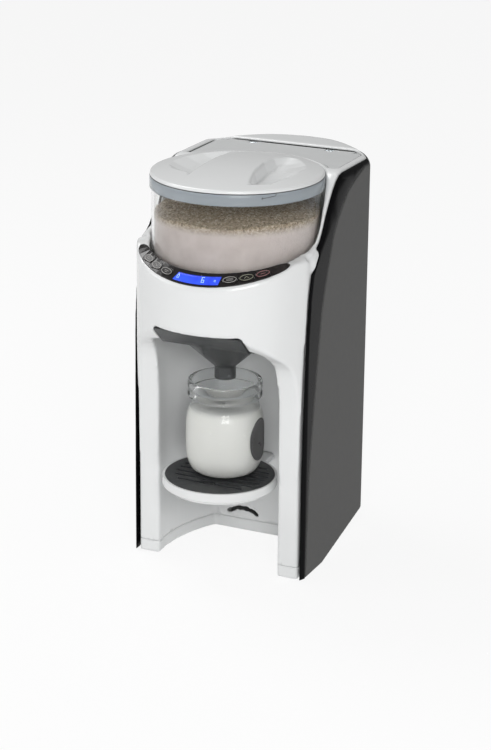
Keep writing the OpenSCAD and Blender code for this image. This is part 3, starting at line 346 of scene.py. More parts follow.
def tube(points, radius, sides=6, closed=False, flat=1.0, up=(0, 0, 1)):
    """A tube along points, flattened along up."""
    pts = [Vector(p) for p in points]
    n = len(pts)
    up = Vector(up).normalized()
    angles = [2 * math.pi * k / sides for k in range(sides)]
    rings = []
    for i, p in enumerate(pts):
        ahead = pts[(i + 1) % n] if closed or i < n - 1 else p
        behind = pts[i - 1] if closed or i > 0 else p
        along = (ahead - behind).normalized()
        side = along.cross(up).normalized()
        rise = side.cross(along).normalized()
        offsets = [radius * (math.cos(b) * side + flat * math.sin(b) * rise) for b in angles]
        rings.append([tuple(p + offset) for offset in offsets])
    return closed_sweep(rings, cap=not closed)


def disc_faces(rings, steps):
    """Faces of a closed form: a centre point, rings of steps points round it, and a cap on the last."""
    faces = [(0, 1 + i, 1 + (i + 1) % steps) for i in range(steps)]
    for k in range(rings - 1):
        a = 1 + k * steps
        for i in range(steps):
            j = (i + 1) % steps
            faces.append((a + i, a + steps + i, a + steps + j, a + j))
    last = 1 + (rings - 1) * steps
    faces.append(tuple(last + i for i in range(steps)))
    return faces


def joined(parts):
    """Several forms' points and faces as one."""
    verts, faces = [], []
    for v, f in parts:
        faces += [tuple(i + len(verts) for i in face) for face in f]
        verts += v
    return verts, faces


def lerp(a, b, t):
    """The value a share t of the way from a to b."""
    return a + (b - a) * t


def ease(t):
    """A smooth rise from 0 to 1 as t goes from 0 to 1."""
    t = min(1.0, max(0.0, t))
    return t * t * (3 - 2 * t)


def table_at(table, x):
    """A value between the points of a table in rising x."""
    if x <= table[0][0]:
        return table[0][1]
    for (x0, y0), (x1, y1) in zip(table, table[1:]):
        if x <= x1:
            return lerp(y0, y1, (x - x0) / (x1 - x0))
    return table[-1][1]


# ---------------------------------------------------------------- the moulded shells, with rounded edges

def level_cut(bm, z, **clear):
    """Cuts a mesh at a height."""
    everything = bm.verts[:] + bm.edges[:] + bm.faces[:]
    return bmesh.ops.bisect_plane(bm, geom=everything, plane_co=(0, 0, z), plane_no=(0, 0, 1), **clear)


def cut_at(bm, z, keep_above):
    """Cuts a closed mesh at a height, keeps one side and closes the cut."""
    cut = level_cut(bm, z, clear_inner=keep_above, clear_outer=not keep_above)
    edges = [e for e in cut["geom_cut"] if isinstance(e, bmesh.types.BMEdge)]
    bmesh.ops.triangle_fill(bm, edges=edges, use_beauty=True)


def remeshed(sources, voxel, rounds, keep, ratio):
    """One mesh of the CAD nodes, rebuilt in small even faces with its edges rounded off."""
    bm = bmesh.new()
    for node in sources:
        bm.from_mesh(nodes[node].data)
    obj = bpy.data.objects.new("shell", mesh_of("shell", bm))
    scene.collection.objects.link(obj)
    remesh = obj.modifiers.new("remesh", "REMESH")
    remesh.mode = "VOXEL"
    remesh.voxel_size = voxel
    even = apply_modifiers(obj)
    group = obj.vertex_groups.new(name="round")
    weights = {}
    for v in even.vertices:
        weights.setdefault(round(keep(v.co), 1), []).append(v.index)
    obj.data = even
    for w, ids in weights.items():
        if w > 0:
            group.add(ids, w, "REPLACE")
    soft = obj.modifiers.new("soft", "SMOOTH")
    soft.factor = 0.5
    soft.iterations = rounds
    soft.vertex_group = "round"
    if ratio < 1:
        fewer = obj.modifiers.new("fewer", "DECIMATE")
        fewer.ratio = ratio
    done = apply_modifiers(obj)
    bpy.data.objects.remove(obj)
    return done


def apply_modifiers(obj):
    """The mesh that the object's modifiers make, with the modifiers taken off."""
    bpy.context.view_layer.update()
    evaluated = obj.evaluated_get(bpy.context.evaluated_depsgraph_get())
    mesh = bpy.data.meshes.new_from_object(evaluated)
    obj.modifiers.clear()
    return mesh


SIDE_X = 88.4
BACK_R = 96.1
BACK_Y = 67.5
TOP_ROUND = 9.0
TOP_LINE = [(-39, 311.2), (-29, 313.5), (-20, 315.8), (-12, 319.1), (-6, 323.0), (0, 330.3), (4, 336.9),
            (8, 344.1), (13, 351.3), (18, 357.9), (24, 365.2), (31, 371.7), (38, 375.7), (46, 377.0)]
ROUND_FROM_Y = -39
ROUND_GROWS = 12
ROUND_FROM_Z = 300
BACK_FROM_Y = 100
BACK_ROUND = 0.3  # share of the rounding left at the middle of the back
BACK_FLAT_X = 25
BACK_GROWS = 35


def rounded_top(mesh):
    """Rounds the edge between the top and the sides of the body over, the same way in each moulding."""
    for v in mesh.vertices:
        x, y, z = v.co.x / MM, v.co.y / MM - FRAME_Y, v.co.z / MM
        if y < ROUND_FROM_Y or z < ROUND_FROM_Z:
            continue
        size = TOP_ROUND * ease((y - ROUND_FROM_Y) / ROUND_GROWS)
        if y > BACK_FROM_Y:
            size *= lerp(BACK_ROUND, 1.0, ease((abs(x) - BACK_FLAT_X) / BACK_GROWS))
        out = SIDE_X - abs(x)
        reach = math.hypot(x, y - BACK_Y)
        radial = y > BACK_Y and BACK_R - reach < out
        if radial:
            out = BACK_R - reach
        down = table_at(TOP_LINE, y) - z
        if out >= size or down >= size or size <= 0:
            continue
        u, w = size - max(out, 0.0), size - max(down, 0.0)
        if u <= 0 or w <= 0:
            continue
        shrink = max(u, w) / math.hypot(u, w)
        new_out, new_down = size - u * shrink, size - w * shrink
        z = z + down - new_down
        if radial:
            k = (BACK_R - new_out) / reach
            x, y = x * k, BACK_Y + (y - BACK_Y) * k
        else:
            x = math.copysign(SIDE_X - new_out, x)
        v.co = row(x, y, z)


WELL_R = 80.5
RING_OUT_R = 92.5
RING_END = 62.0
RING_INNER_Z = 302.6
RING_OUTER_Z = 291.2
RING_END_Z = 311.2
OVERLAY_T = 0.8


def ring_z(r, a):
    """Height of the sloping control surface at a radius and an angle from the front."""
    rise = (1 - math.cos(math.radians(a))) / (1 - math.cos(math.radians(RING_END)))
    inner, outer = lerp(RING_INNER_Z, RING_END_Z, rise), lerp(RING_OUTER_Z, RING_END_Z, rise)
    return lerp(inner, outer, (r - WELL_R) / (RING_OUT_R - WELL_R))


SEAM_Z = 13.5
SEAM_GAP = 0.22
SHARP = 0.1
SHARP_R = 83
PANEL_SHARP_R = 93.5
PANEL_SHARP_Y = 10
PANEL_SHARP_Z = 270 * MM


def body_weight(co):
    """How much an edge is rounded: little round the control panel and the container's well."""
    y = co.y / MM - FRAME_Y
    r = math.hypot(co.x / MM, y)
    if r < SHARP_R:
        return SHARP
    if y < PANEL_SHARP_Y and co.z > PANEL_SHARP_Z and r < PANEL_SHARP_R:
        return SHARP
    return 1.0


PANEL_A = 59
PANEL_IN_R = 81.6
PANEL_OUT_R = 92.4
PANEL_NEAR = 1.5
PANEL_SINK = 0.3
PINCH = 2.6
PINCH_FROM_X = 64
PINCH_GROWS_X = 22
PINCH_FROM_Y = -20
PINCH_GROWS_Y = 8


def under_panel(mesh):
    """Keeps the body a little under the black panel, and draws its front in where it meets the trim."""
    for v in mesh.vertices:
        x, y, z = v.co.x / MM, v.co.y / MM - FRAME_Y, v.co.z / MM
        r = math.hypot(x, y)
        a = math.degrees(math.atan2(abs(x), -y))
        if a < PANEL_A and PANEL_IN_R < r < PANEL_OUT_R and z > ring_z(r, a) - PANEL_NEAR:
            z = min(z, ring_z(r, a) - PANEL_SINK)
        if y < PINCH_FROM_Y:
            share = ease((PINCH_FROM_Y - y) / PINCH_GROWS_Y)
            x -= math.copysign(PINCH * ease((abs(x) - PINCH_FROM_X) / PINCH_GROWS_X) * share, x)
        v.co = row(x, y, z)


BODY_VOXEL = 0.0016
BODY_ROUNDS = 14
BODY_RATIO = 0.3
SIDE_ROUNDS = 2
SIDE_RATIO = 0.35
REAR_CUTS = range(360, 377)


def body_shells():
    """The white body and its base, one mesh parted at the seam."""
    sources = ["front_housing", "control_bezel", "bay_liner", "base_plate"]
    mesh = remeshed(sources, BODY_VOXEL, BODY_ROUNDS, body_weight, BODY_RATIO)
    rounded_top(mesh)
    under_panel(mesh)
    halves = (("body_shell", True, ("front_housing", "control_bezel", "bay_liner")),
              ("base_shell", False, ("base_plate",)))
    for name, above, stands_for in halves:
        bm = bmesh.new()
        bm.from_mesh(mesh)
        cut_at(bm, (SEAM_Z + (SEAM_GAP if above else -SEAM_GAP)) * MM, above)
        obj = object_of(name, mesh_of(name, bm), WHITE, "machine")
        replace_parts(obj, *stands_for)


def side_shells():
    """The black trims, the grey side panels and the rear cover."""
    kinds = (("trim", TRIM_BLACK, "black_gloss", 0.0011), ("panel", SIDE_GREY, "grey_side", 0.0013))
    for side in ("left", "right"):
        for part, material, slot, voxel in kinds:
            node = "side_%s_%s" % (part, side)
            mesh = remeshed([node], voxel, SIDE_ROUNDS, lambda co: 1.0, SIDE_RATIO)
            rounded_top(mesh)
            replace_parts(object_of("%s_shell_%s" % (part, side), mesh, material, "machine"), node)
    bm = bmesh.new()
    bm.from_mesh(nodes["rear_cover"].data)
    bmesh.ops.remove_doubles(bm, verts=bm.verts, dist=1e-6)
    for z in REAR_CUTS:
        level_cut(bm, z * MM)
    mesh = mesh_of("rear_shell", bm)
    rounded_top(mesh)
    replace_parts(object_of("rear_shell", mesh, SIDE_GREY, "machine", smooth=False), "rear_cover")


body_shells()
side_shells()


# ---------------------------------------------------------------- lid, band and powder

LID_R = 80.0
LID_FLAT_R = 77.5
LID_EDGE_Z = 377.9
LID_CROWN = 6.1
RIGHT_SCOOP = dict(
    inner=[(-54, 34), (-19, 24.3), (17.3, 17.7), (39.5, 17.8), (57.3, 23.4)],
    outer=[(-54, 36), (-42, 52), (-15, 58), (-2.8, 59.5), (19.5, 58.7), (34.7, 53), (56, 37), (58, 25)])
LEFT_SCOOP = dict(
    inner=[(-51, -26), (50.5, -30.8), (62, -33)],
    outer=[(-51, -27), (-40, -31.5), (-34, -44), (-27, -54), (-16, -61.6), (-3, -64.5), (20.5, -62.3),
           (39.6, -54.4), (62, -36.3)])
SCOOP_HALF = 56.0
SCOOP_FROM_X = 10
SCOOP_DEEP = 11.0
SCOOP_WIDE = 24
SCOOP_LEAST = 0.5
SCOOP_WALL = 5.5
SCOOP_WALL_SHARE = 0.45
LID_STEPS = 288
LID_RIM_DROP = 2.2


def scoop_depth(x, y):
    """Depth of the two hand scoops of the lid, with a steep wall on the inner side."""
    for scoop, mid, side in ((RIGHT_SCOOP, 1.5, 1), (LEFT_SCOOP, 4.0, -1)):
        if x * side < SCOOP_FROM_X or abs(y - mid) >= SCOOP_HALF:
            continue
        a, b = table_at(scoop["inner"], y), table_at(scoop["outer"], y)
        if abs(b - a) < SCOOP_LEAST:
            continue
        t = (x - a) / (b - a)
        if 0 < t < 1:
            deep = SCOOP_DEEP * (1 - ((y - mid) / SCOOP_HALF) ** 2) ** 0.6 * min(1.0, abs(b - a) / SCOOP_WIDE)
            wall_t = min(SCOOP_WALL_SHARE, SCOOP_WALL / abs(b - a))
            shape = ease(t / wall_t) if t < wall_t else 1 - ((t - wall_t) / (1 - wall_t)) ** 1.6
            return deep * shape
    return 0.0


def lid_z(x, y):
    """Height of the lid's top, crowned in the middle and rounded over at the rim."""
    r = math.hypot(x, y)
    if r > LID_FLAT_R:
        out = (r - LID_FLAT_R) / (LID_R - LID_FLAT_R)
        return LID_EDGE_Z - LID_RIM_DROP * (1 - math.sqrt(max(0.0, 1 - out ** 2)))
    return LID_EDGE_Z + LID_CROWN * (1 - (r / LID_FLAT_R) ** 2) - scoop_depth(x, y)


def lid():
    """The lid, a height field of rings with its underside."""
    radii = [0.8 * k for k in range(1, 97)] + [LID_FLAT_R, 78.2, 78.8, 79.3, 79.7, 79.92, LID_R]
    verts = [(0, 0, lid_z(0, 0))]
    for r in radii:
        for i in range(LID_STEPS):
            a = 2 * math.pi * i / LID_STEPS
            x, y = r * math.sin(a), -r * math.cos(a)
            verts.append((x, y, lid_z(x, y)))
    under = [(LID_R, 375.1), (79.7, 374.7), (78.0, 374.6), (77.8, 371.4), (40.0, 371.4)]
    for r, z in under:
        for i in range(LID_STEPS):
            a = 2 * math.pi * i / LID_STEPS
            verts.append((r * math.sin(a), -r * math.cos(a), z))
    faces = disc_faces(len(radii) + len(under), LID_STEPS)
    obj = piece("lid_dome", verts, faces, WHITE, "container_lid", "white_shell")
    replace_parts(obj, "container_lid")


BAND_MARK_R = 80.45
BAND_MARK_T = 0.22


def on_band(a, z):
    """A place on the outside of the band, at an angle from the front."""
    a = math.radians(a)
    return (BAND_MARK_R * math.sin(a), -BAND_MARK_R * math.cos(a), z)


def band():
    """The tinted band under the lid, its dark groove and its lock mark."""
    profile = [(78.3, 371.2), (78.3, 363.9), (78.6, 363.5), (80.0, 363.5), (80.35, 363.9), (80.35, 373.8),
               (80.0, 374.2), (78.6, 374.2)]
    verts, faces = lathe(profile)
    obj = piece("lid_band_tint", verts, faces, BAND, "container_lid", "clear_band")
    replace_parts(obj, "lid_band")
    groove = [(78.4, 374.15), (80.1, 374.15), (80.1, 374.6), (78.4, 374.6)]
    piece("lid_groove_line", *lathe(groove), LINE_DARK, "container_lid", "black_gloss")
    path = [on_band(lerp(40.4, 49.75, t / 8), lerp(370.4, 372.1, t / 8)) for t in range(9)]
    path += [on_band(50.1, 373.4), on_band(50.3, 374.0)]
    arrow = [on_band(41.3, 371.7), on_band(40.4, 370.4), on_band(41.2, 369.3)]
    mark = joined([tube(path, BAND_MARK_T), tube(arrow, BAND_MARK_T)])
    piece("lid_lock_mark", *mark, LINE_DARK, "container_lid", "black_gloss")


POWDER_EDGE = [(-180, 346), (-90, 341), (-51.5, 339.6), (-20, 343), (17, 340.6), (48, 345), (78, 342.4),
               (130, 345), (180, 346)]
POWDER_R = 76.2
POWDER_STEPS = 300
POWDER_RINGS = 90
POWDER_TOP_Z = 349.0
POWDER_LUMPS = ((1.4, 0.11, 3.0), (0.9, 0.4, 8.0), (0.7, 1.1, 1.0))  # height, fineness and place in the noise


def powder():
    """The heap of powder, lower at the glass than in the middle, with lumps."""
    verts = [(0, 0, POWDER_TOP_Z)]
    for k in range(1, POWDER_RINGS + 1):
        r = POWDER_R * k / POWDER_RINGS
        for i in range(POWDER_STEPS):
            a = 360.0 * i / POWDER_STEPS - 180
            x, y = r * math.sin(math.radians(a)), -r * math.cos(math.radians(a))
            z = lerp(POWDER_TOP_Z, table_at(POWDER_EDGE, a), (k / POWDER_RINGS) ** 1.5)
            for height, fine, place in POWDER_LUMPS:
                z += height * noise_lib.noise(Vector((x * fine, y * fine, place)))
            verts.append((x, y, z))
    side = (333.0, 331.0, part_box("powder_fill")[0].z / MM)
    for z in side:
        for i in range(POWDER_STEPS):
            a = math.radians(360.0 * i / POWDER_STEPS - 180)
            verts.append((POWDER_R * math.sin(a), -POWDER_R * math.cos(a), z))
    faces = disc_faces(POWDER_RINGS + len(side), POWDER_STEPS)
    obj = piece("powder_bed", verts, faces, POWDER, "powder_container", "powder")
    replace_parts(obj, "powder_fill")


lid()
band()
powder()


# ---------------------------------------------------------------- control panel

STEP = 0.5  # half the span over which the surface's slope is taken


def ring_at(r, a):
    """A place on the control surface, at a radius and an angle from the front."""
    return Vector((r * math.sin(math.radians(a)), -r * math.cos(math.radians(a)), ring_z(r, a)))


def ring_point(r, a, h):
    """A place on the control surface, raised by h along its normal."""
    round_it = ring_at(r, a + STEP) - ring_at(r, a - STEP)
    normal = round_it.cross(ring_at(r + STEP, a) - ring_at(r - STEP, a)).normalized()
    if normal.z < 0:
        normal = -normal
    return ring_at(r, a) + normal * h


def ring_patch(low, high, steps_a, steps_r, h0, h1):
    """A thin slab on the control surface between two edges given as (angle, radius) from end to end."""
    verts, faces = [], []
    for h in (h1, h0):
        for i in range(steps_a + 1):
            u = i / steps_a
            a0, r0 = lerp(low[0][0], low[1][0], u), lerp(low[0][1], low[1][1], u)
            a1, r1 = lerp(high[0][0], high[1][0], u), lerp(high[0][1], high[1][1], u)
            for k in range(steps_r + 1):
                w = k / steps_r
                verts.append(tuple(ring_point(lerp(r0, r1, w), lerp(a0, a1, w), h)))
    m = steps_r + 1
    n = (steps_a + 1) * m
    for i in range(steps_a):
        for k in range(steps_r):
            a = i * m + k
            faces.append((a, a + 1, a + m + 1, a + m))
            faces.append((n + a, n + a + m, n + a + m + 1, n + a + 1))
    for i in range(steps_a):
        for k in (0, steps_r):
            a = i * m + k
            faces.append((a, a + m, n + a + m, n + a))
    for k in range(steps_r):
        for i in (0, steps_a):
            a = i * m + k
            faces.append((a, a + 1, n + a + 1, n + a))
    return verts, faces


def on_surface(points, h, size=1.0, a0=0.0, r0=0.0):
    """Places of a flat drawing, in mm along and up the panel, laid on the control surface."""
    return [ring_point(r0 - v * size, a0 + math.degrees(u * size / r0), h) for u, v in points]


def ellipse(half_u, half_v, steps=40):
    angles = [2 * math.pi * k / steps for k in range(steps)]
    return [(half_u * math.cos(a), half_v * math.sin(a)) for a in angles]


LCD_H = OVERLAY_T + 0.5
LCD_SUNK = 0.3
LCD_LOW = [(-13.9, 90.6), (14.4, 90.6)]  # angle and radius at each end
LCD_HIGH = [(-12.3, 84.4), (15.9, 84.4)]
MARK_R = 87.3
MARK_H = LCD_H + 0.02
MARK_UP = (0, -0.6, 0.8)
DIGIT_T = 0.3
MARK_T = 0.22
DIGIT_SIX = [(1.1, 1.9), (-1.1, 1.9), (-1.1, -1.9), (1.1, -1.9), (1.1, 0.0), (-1.1, 0.0)]
BOTTLE_MARK = [(-0.9, -1.5), (0.9, -1.5), (0.9, 0.6), (0.35, 1.1), (0.35, 1.7), (-0.35, 1.7), (-0.35, 1.1),
               (-0.9, 0.6)]
UNIT_MARKS = ([(-0.9, -0.9), (0.9, -0.9)], [(-0.9, 0.1), (0.9, 0.1)])
DIGIT_A = 5.1
BOTTLE_MARK_A = -11.3
UNIT_A = 12.4


def display():
    """The blue display and its marks."""
    patch = ring_patch(LCD_LOW, LCD_HIGH, 40, 6, OVERLAY_T - LCD_SUNK, LCD_H)
    screen = piece("lcd_screen", *patch, LCD, "machine", "lcd_blue")
    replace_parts(screen, "lcd_window")
    digit = on_surface(DIGIT_SIX, MARK_H, 1.0, DIGIT_A, MARK_R)
    small = on_surface(BOTTLE_MARK, MARK_H, 1.0, BOTTLE_MARK_A, MARK_R)
    marks = [tube(digit, DIGIT_T, up=MARK_UP), tube(small, MARK_T, closed=True, up=MARK_UP)]
    marks += [tube(on_surface(line, MARK_H, 1.0, UNIT_A, MARK_R), MARK_T, up=MARK_UP) for line in UNIT_MARKS]
    piece("lcd_marks", *joined(marks), LCD_MARK, "machine", "lcd_blue")


KEY_MARKS = {
    "left_1": [[(-2.6, 0.6), (2.6, 0.6)], [(-1.6, -0.8), (1.6, -0.8)]],
    "left_2": [[(-2.4, -0.9), (-0.8, 0.9), (0.8, -0.9), (2.4, 0.9)]],
    "left_3": [[(-2.6, 0.7), (0.2, 0.7)], [(-2.6, -0.7), (2.6, -0.7)]],
    "right_1": [[(-3.0, 0.7), (3.0, 0.7)], [(-3.0, -0.7), (3.0, -0.7)]],
    "right_2": [[(-2.0, -0.9), (0.0, 1.0), (2.0, -0.9)]],
    "right_3": [[(-2.2, 0.0), (2.2, 0.0)]],
}
KEY_COLOURS = {"right_2": LINE_GREEN, "right_3": LINE_RED}
KEY_R = 87
KEY_FIRST_A = 21
KEY_NEXT_A = 9.8
KEY_HALF_U = 5.9
KEY_HALF_V = 2.95
KEY_LINE_T = 0.26


def keys():
    """A ring and a plain mark drawn on each button, which ride on it."""
    for side, sign in (("left", -1), ("right", 1)):
        for i in (1, 2, 3):
            key = "%s_%d" % (side, i)
            name = "button_" + key
            a0 = sign * (KEY_FIRST_A + KEY_NEXT_A * (i - 1))
            place = ring_point(KEY_R, a0, 0)
            normal = (ring_point(KEY_R, a0, 1) - place).normalized()
            points = [Vector(v.co) / MM - Vector((0, FRAME_Y, 0)) - place for v in nodes[name].data.vertices]
            top = max(p.dot(normal) for p in points)
            steep = 1 / math.hypot(1, ring_z(KEY_R + 1, a0) - ring_z(KEY_R, a0))
            round_it = on_surface(ellipse(KEY_HALF_U, KEY_HALF_V * steep), top, 1.0, a0, KEY_R)
            lines = [tube(round_it, KEY_LINE_T, closed=True, up=normal)]
            for mark in KEY_MARKS[key]:
                line = on_surface([(u, v * steep) for u, v in mark], top, 1.0, a0, KEY_R)
                lines.append(tube(line, MARK_T, up=normal))
            piece("mark_" + key, *joined(lines), KEY_COLOURS.get(key, LINE_GREY), name, "key_dark")


END_CUTS = 12
END_CUT_A = 49
END_NEXT_A = 0.75
END_FROM_A = 49.5
END_LONG = 8.3
END_MID_R = 87.05
END_LEAST = 0.02


def overlay():
    """The black panel, with its ends rounded."""
    bm = bmesh.new()
    bm.from_mesh(nodes["control_overlay"].data)
    bmesh.ops.remove_doubles(bm, verts=bm.verts, dist=1e-6)
    for sign in (-1, 1):
        for k in range(END_CUTS):
            a = math.radians(sign * (END_CUT_A + END_NEXT_A * k))
            geom = [f for f in bm.faces if f.calc_center_median().x * sign > 0]
            geom += list({e for f in geom for e in f.edges}) + list({v for f in geom for v in f.verts})
            across = (math.cos(a), math.sin(a), 0)
            bmesh.ops.bisect_plane(bm, geom=geom, plane_co=row(0, 0, 0), plane_no=across)
    for v in bm.verts:
        x, y, z = v.co.x / MM, v.co.y / MM - FRAME_Y, v.co.z / MM
        r, a = math.hypot(x, y), math.degrees(math.atan2(x, -y))
        if abs(a) > END_FROM_A:
            h = z - ring_z(r, a)
            narrow = math.sqrt(max(END_LEAST, 1 - ((abs(a) - END_FROM_A) / END_LONG) ** 2))
            r = END_MID_R + (r - END_MID_R) * narrow
            v.co = row(r * math.sin(math.radians(a)), -r * math.cos(math.radians(a)), ring_z(r, a) + h)
    mesh = mesh_of("panel_overlay", bm)
    panel = object_of("panel_overlay", mesh, OVERLAY_BLACK, "machine", smooth=False)
    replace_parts(panel, "control_overlay")


display()
keys()
overlay()


# ---------------------------------------------------------------- bottle

BOTTLE_Y = -23.0
BOTTLE_Z = 93.1
BODY_R = 36.7
GRIP_BALL_R = 46.0
GRIP_DEPTH = 6.0
GRIP_Z = BOTTLE_Z + 36.4
BOTTLE_STEPS = 160
BODY_LINE = [(20.2, 0), (27.5, 1.6), (31.8, 5.2), (34.6, 11), (36.1, 18), (36.7, 27), (36.7, 42), (36.5, 50),
             (35.6, 57), (33.9, 62), (32.3, 65.6), (31.8, 69)]  # radius and height above the bottle's foot
NECK_OUT = [(31.8, 73.6), (32.2, 74.2), (34.2, 74.8), (34.9, 75.8), (34.9, 78.4), (34.3, 79.4), (33.3, 80.2),
            (33.3, 81.4), (34.3, 82.4), (34.9, 83.6), (34.9, 88.8), (34.4, 90.3), (33.2, 91)]
NECK_IN = [(31.2, 90.2), (30.2, 88), (30.2, 72)]
GLASS_T = 1.4
FLOOR_IN = [(18.8, GLASS_T), (0.6, GLASS_T), (0.6, 0)]
MILK_GAP = 0.35
MILK_TOP = 62


def raised(points):
    """Radius and height, with the height measured from the tray instead of the bottle's foot."""
    return [(r, BOTTLE_Z + z) for r, z in points]


def body_profile(inset, top):
    """The outline of the bottle's body up to a height, drawn in by inset."""
    pts = [(r - inset, z + BOTTLE_Z + (inset if z < 6 else 0)) for r, z in BODY_LINE if z <= top]
    return [(v.x, v.z) for v in smooth_line([(r, 0, z) for r, z in pts], 5)]


def dimpled(verts, inset):
    """Pushes the points of the bottle's body out of the two grips at its sides."""
    out = []
    ball = GRIP_BALL_R + inset
    for x, y, z in verts:
        for s in (-1, 1):
            c = Vector((s * (BODY_R - GRIP_DEPTH + GRIP_BALL_R), BOTTLE_Y, GRIP_Z))
            dy, dz = y - c.y, z - c.z
            if x * s > 0 and dy * dy + dz * dz < ball * ball:
                edge = c.x - s * math.sqrt(ball * ball - dy * dy - dz * dz)
                if (x - edge) * s > 0:
                    x = edge
        out.append((x, y, z))
    return out


def bottle():
    """The glass and the milk in it."""
    outer = body_profile(0.0, 69) + raised(NECK_OUT)
    inner = raised(NECK_IN) + body_profile(GLASS_T, 66)[::-1] + raised(FLOOR_IN)
    verts, faces = lathe(outer + inner, BOTTLE_STEPS, 0, BOTTLE_Y)
    glass = piece("bottle_glass", dimpled(verts, 0), faces, BOTTLE, "bottle", "bottle_clear")
    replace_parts(glass, "bottle")
    profile = body_profile(MILK_GAP, MILK_TOP)
    top = profile[-1][1]
    profile += [(30.6, top + 2.6), (29.0, top + 2.9), (0.6, top + 2.6), (0.6, BOTTLE_Z + 0.4)]
    verts, faces = lathe(profile, BOTTLE_STEPS, 0, BOTTLE_Y)
    milk = piece("bottle_milk", dimpled(verts, MILK_GAP), faces, LIQUID, "bottle", "formula")
    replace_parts(milk, "bottle_formula")


GRIP_RINGS = 10
GRIP_STEPS = 64
GRIP_REACH = (2.0, 34.0)
GRIP_HALVINGS = 24
GRIP_LIFTS = (-0.3, 0.2)


def grip_outline():
    """Where the ball that presses the grip into the bottle leaves the bottle's side, found by halving."""
    heights = [(z, r) for r, z in BODY_LINE]
    outline = []
    for i in range(GRIP_STEPS):
        a = 2 * math.pi * i / GRIP_STEPS
        near, far = GRIP_REACH
        for _ in range(GRIP_HALVINGS):
            reach = (near + far) / 2
            dy, dz = reach * math.cos(a), reach * math.sin(a)
            surface = BODY_R - GRIP_DEPTH + GRIP_BALL_R - math.sqrt(GRIP_BALL_R ** 2 - reach ** 2)
            r = table_at(heights, dz + GRIP_Z - BOTTLE_Z)
            if surface < math.sqrt(max(0.0, r * r - dy * dy)):
                near = reach
            else:
                far = reach
        outline.append((near * math.cos(a), near * math.sin(a)))
    return outline


def grips():
    """A dark grey pad of painted shade in each finger grip of the bottle, as thick as the glass is there."""
    outline = grip_outline()
    n = 1 + GRIP_RINGS * GRIP_STEPS
    for name, s in (("left", -1), ("right", 1)):
        cx = s * (BODY_R - GRIP_DEPTH + GRIP_BALL_R)
        verts = []
        for lift in GRIP_LIFTS:
            ball = GRIP_BALL_R + lift
            verts.append((cx - s * ball, BOTTLE_Y, GRIP_Z))
            for k in range(1, GRIP_RINGS + 1):
                for dy, dz in outline:
                    dy, dz = dy * k / GRIP_RINGS, dz * k / GRIP_RINGS
                    x = cx - s * math.sqrt(ball * ball - dy * dy - dz * dz)
                    verts.append((x, BOTTLE_Y + dy, GRIP_Z + dz))
        face = disc_faces(GRIP_RINGS, GRIP_STEPS)[:-1]
        faces = face + [tuple(n + i for i in f)[::-1] for f in face]
        rim = 1 + (GRIP_RINGS - 1) * GRIP_STEPS
        for i in range(GRIP_STEPS):
            j = (i + 1) % GRIP_STEPS
            faces.append((rim + i, n + rim + i, n + rim + j, rim + j))
        piece("bottle_grip_shade_" + name, verts, faces, GRIP_SHADE, "bottle", "bottle_clear")


bottle()
grips()


# ---------------------------------------------------------------- ledge round the tank in the deck

TANK_SIDE = 75
TANK_FRONT = 52
TANK_BACK = 126
TANK_BACK_R = 88
TANK_WELL_R = 87.5
LEDGE_OUT = 1.45
LEDGE_IN = 0.35
LEDGE_Z = (366.0, 373.0, 373.2)  # foot, inner edge, outer edge


def tank_line(grow):
    """The tank's outline seen from above, larger by grow, with the same number of points for each grow."""
    side, front, back = TANK_SIDE + grow, TANK_FRONT - grow, TANK_BACK + grow
    round_r, well_r = TANK_BACK_R + grow, TANK_WELL_R - grow
    corner = math.degrees(math.asin(side / round_r))
    flat = math.degrees(math.acos((back - BACK_Y) / round_r))
    turn_y = BACK_Y + math.sqrt(round_r ** 2 - side ** 2)
    right = [(side, lerp(front, turn_y, t / 6)) for t in range(7)]
    for t in range(1, 13):
        a = math.radians(lerp(corner, flat, t / 12))
        right.append((round_r * math.sin(a), BACK_Y + round_r * math.cos(a)))
    line = right + [(-x, y) for x, y in right[::-1]]
    end = math.degrees(math.acos(front / well_r))
    for t in range(41):
        a = math.radians(lerp(-end, end, t / 40))
        line.append((well_r * math.sin(a), well_r * math.cos(a)))
    return line


def tank_ledge():
    """The low ledge round the tank's opening."""
    foot, inner_z, outer_z = LEDGE_Z
    lines = zip(tank_line(LEDGE_OUT), tank_line(LEDGE_IN))
    rings = [[(*p, foot), (*p, outer_z), (*q, inner_z), (*q, foot)] for p, q in lines]
    piece("tank_ledge", *closed_sweep(rings), LIGHT_GREY, "machine", "white_shell", smooth=False)


tank_ledge()


# ---------------------------------------------------------------- floor, light, camera

FLOOR_HALF = 12.0
FLOOR_SHARE = 0.88  # how much of the seen floor is plain white, the rest keeping the shadow
WORLD_STRENGTH = 0.34


def any_ray(nt, kinds):
    """1 where the ray is of one of the kinds, else 0."""
    path = nt.nodes.new("ShaderNodeLightPath")
    seen = path.outputs["Is %s Ray" % kinds[0]]
    for kind in kinds[1:]:
        seen = math_node(nt, "MAXIMUM", seen, path.outputs["Is %s Ray" % kind])
    return seen


def mixed(nt, share, first, second, out):
    """Two shaders mixed by a share, into the output."""
    mix = nt.nodes.new("ShaderNodeMixShader")
    nt.links.new(share, mix.inputs[0])
    nt.links.new(first.outputs[0], mix.inputs[1])
    nt.links.new(second.outputs[0], mix.inputs[2])
    nt.links.new(mix.outputs[0], out.inputs[0])


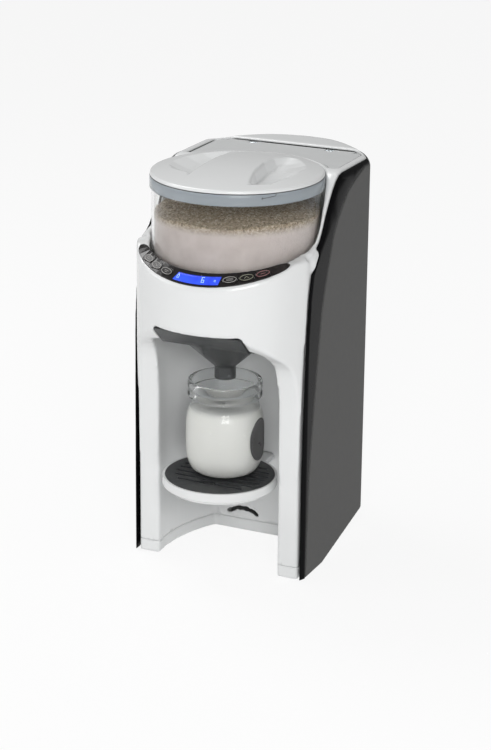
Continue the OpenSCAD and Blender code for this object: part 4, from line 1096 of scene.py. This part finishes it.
def stage_floor():
    """A pale floor that stays white to the camera and keeps the shadow."""
    mesh = bpy.data.meshes.new("floor")
    s = FLOOR_HALF
    mesh.from_pydata([(-s, -s, 0), (s, -s, 0), (s, s, 0), (-s, s, 0)], [], [(0, 1, 2, 3)])
    floor = bpy.data.objects.new("floor", mesh)
    scene.collection.objects.link(floor)
    m, nt, b = new_material("floor_pale")
    b.inputs["Base Color"].default_value = (0.93, 0.93, 0.93, 1)
    b.inputs["Roughness"].default_value = 0.9
    share = math_node(nt, "MULTIPLY", any_ray(nt, ("Camera", "Transmission", "Glossy")), None, FLOOR_SHARE)
    glow = add(nt, "ShaderNodeEmission", Strength=1.0)
    out = [n for n in nt.nodes if n.type == "OUTPUT_MATERIAL"][0]
    mixed(nt, share, b, glow, out)
    mesh.materials.append(m)


def area_light(name, place, aim, size, power):
    """A rectangular lamp, aimed at a place."""
    data = bpy.data.lights.new(name, "AREA")
    data.shape = "RECTANGLE"
    data.size, data.size_y = size
    data.energy = power
    obj = bpy.data.objects.new(name, data)
    scene.collection.objects.link(obj)
    obj.location = place
    obj.rotation_euler = (Vector(aim) - Vector(place)).to_track_quat("-Z", "Y").to_euler()


def world_light():
    """Even light all round, with plain white where the camera looks past the floor."""
    world = bpy.data.worlds.new("studio")
    scene.world = world
    world.use_nodes = True
    nt = world.node_tree
    nt.nodes.clear()
    out = nt.nodes.new("ShaderNodeOutputWorld")
    light, white = (nt.nodes.new("ShaderNodeBackground") for _ in range(2))
    for background, strength in ((light, WORLD_STRENGTH), (white, 1.0)):
        background.inputs[0].default_value = (1, 1, 1, 1)
        background.inputs[1].default_value = strength
    mixed(nt, any_ray(nt, ("Camera", "Transmission")), light, white, out)


stage_floor()
world_light()
area_light("key", (1.0, -2.0, 1.2), (0, 0, 0.2), (1.0, 1.0), 30)
area_light("fill", (-1.5, -0.8, 1.2), (0, 0, 0.2), (0.9, 0.9), 5)
area_light("top", (-0.9, 0.3, 1.7), (0, 0, 0.3), (0.7, 0.7), 10)

CAMERA_PLACE = (0.8408, -1.8154 + FRAME_Y * MM, 0.8621)
CAMERA_DOWN = 18.83
CAMERA_TURN = 26.44
camera = bpy.data.objects.new("camera", bpy.data.cameras.new("camera"))
scene.collection.objects.link(camera)
scene.camera = camera
camera.data.sensor_width = 36.0
camera.data.lens = 107.89
camera.data.shift_x = 0.0919
camera.data.clip_start = 0.05
camera.location = CAMERA_PLACE
camera.rotation_euler = (math.radians(90 - CAMERA_DOWN), 0, math.radians(CAMERA_TURN))
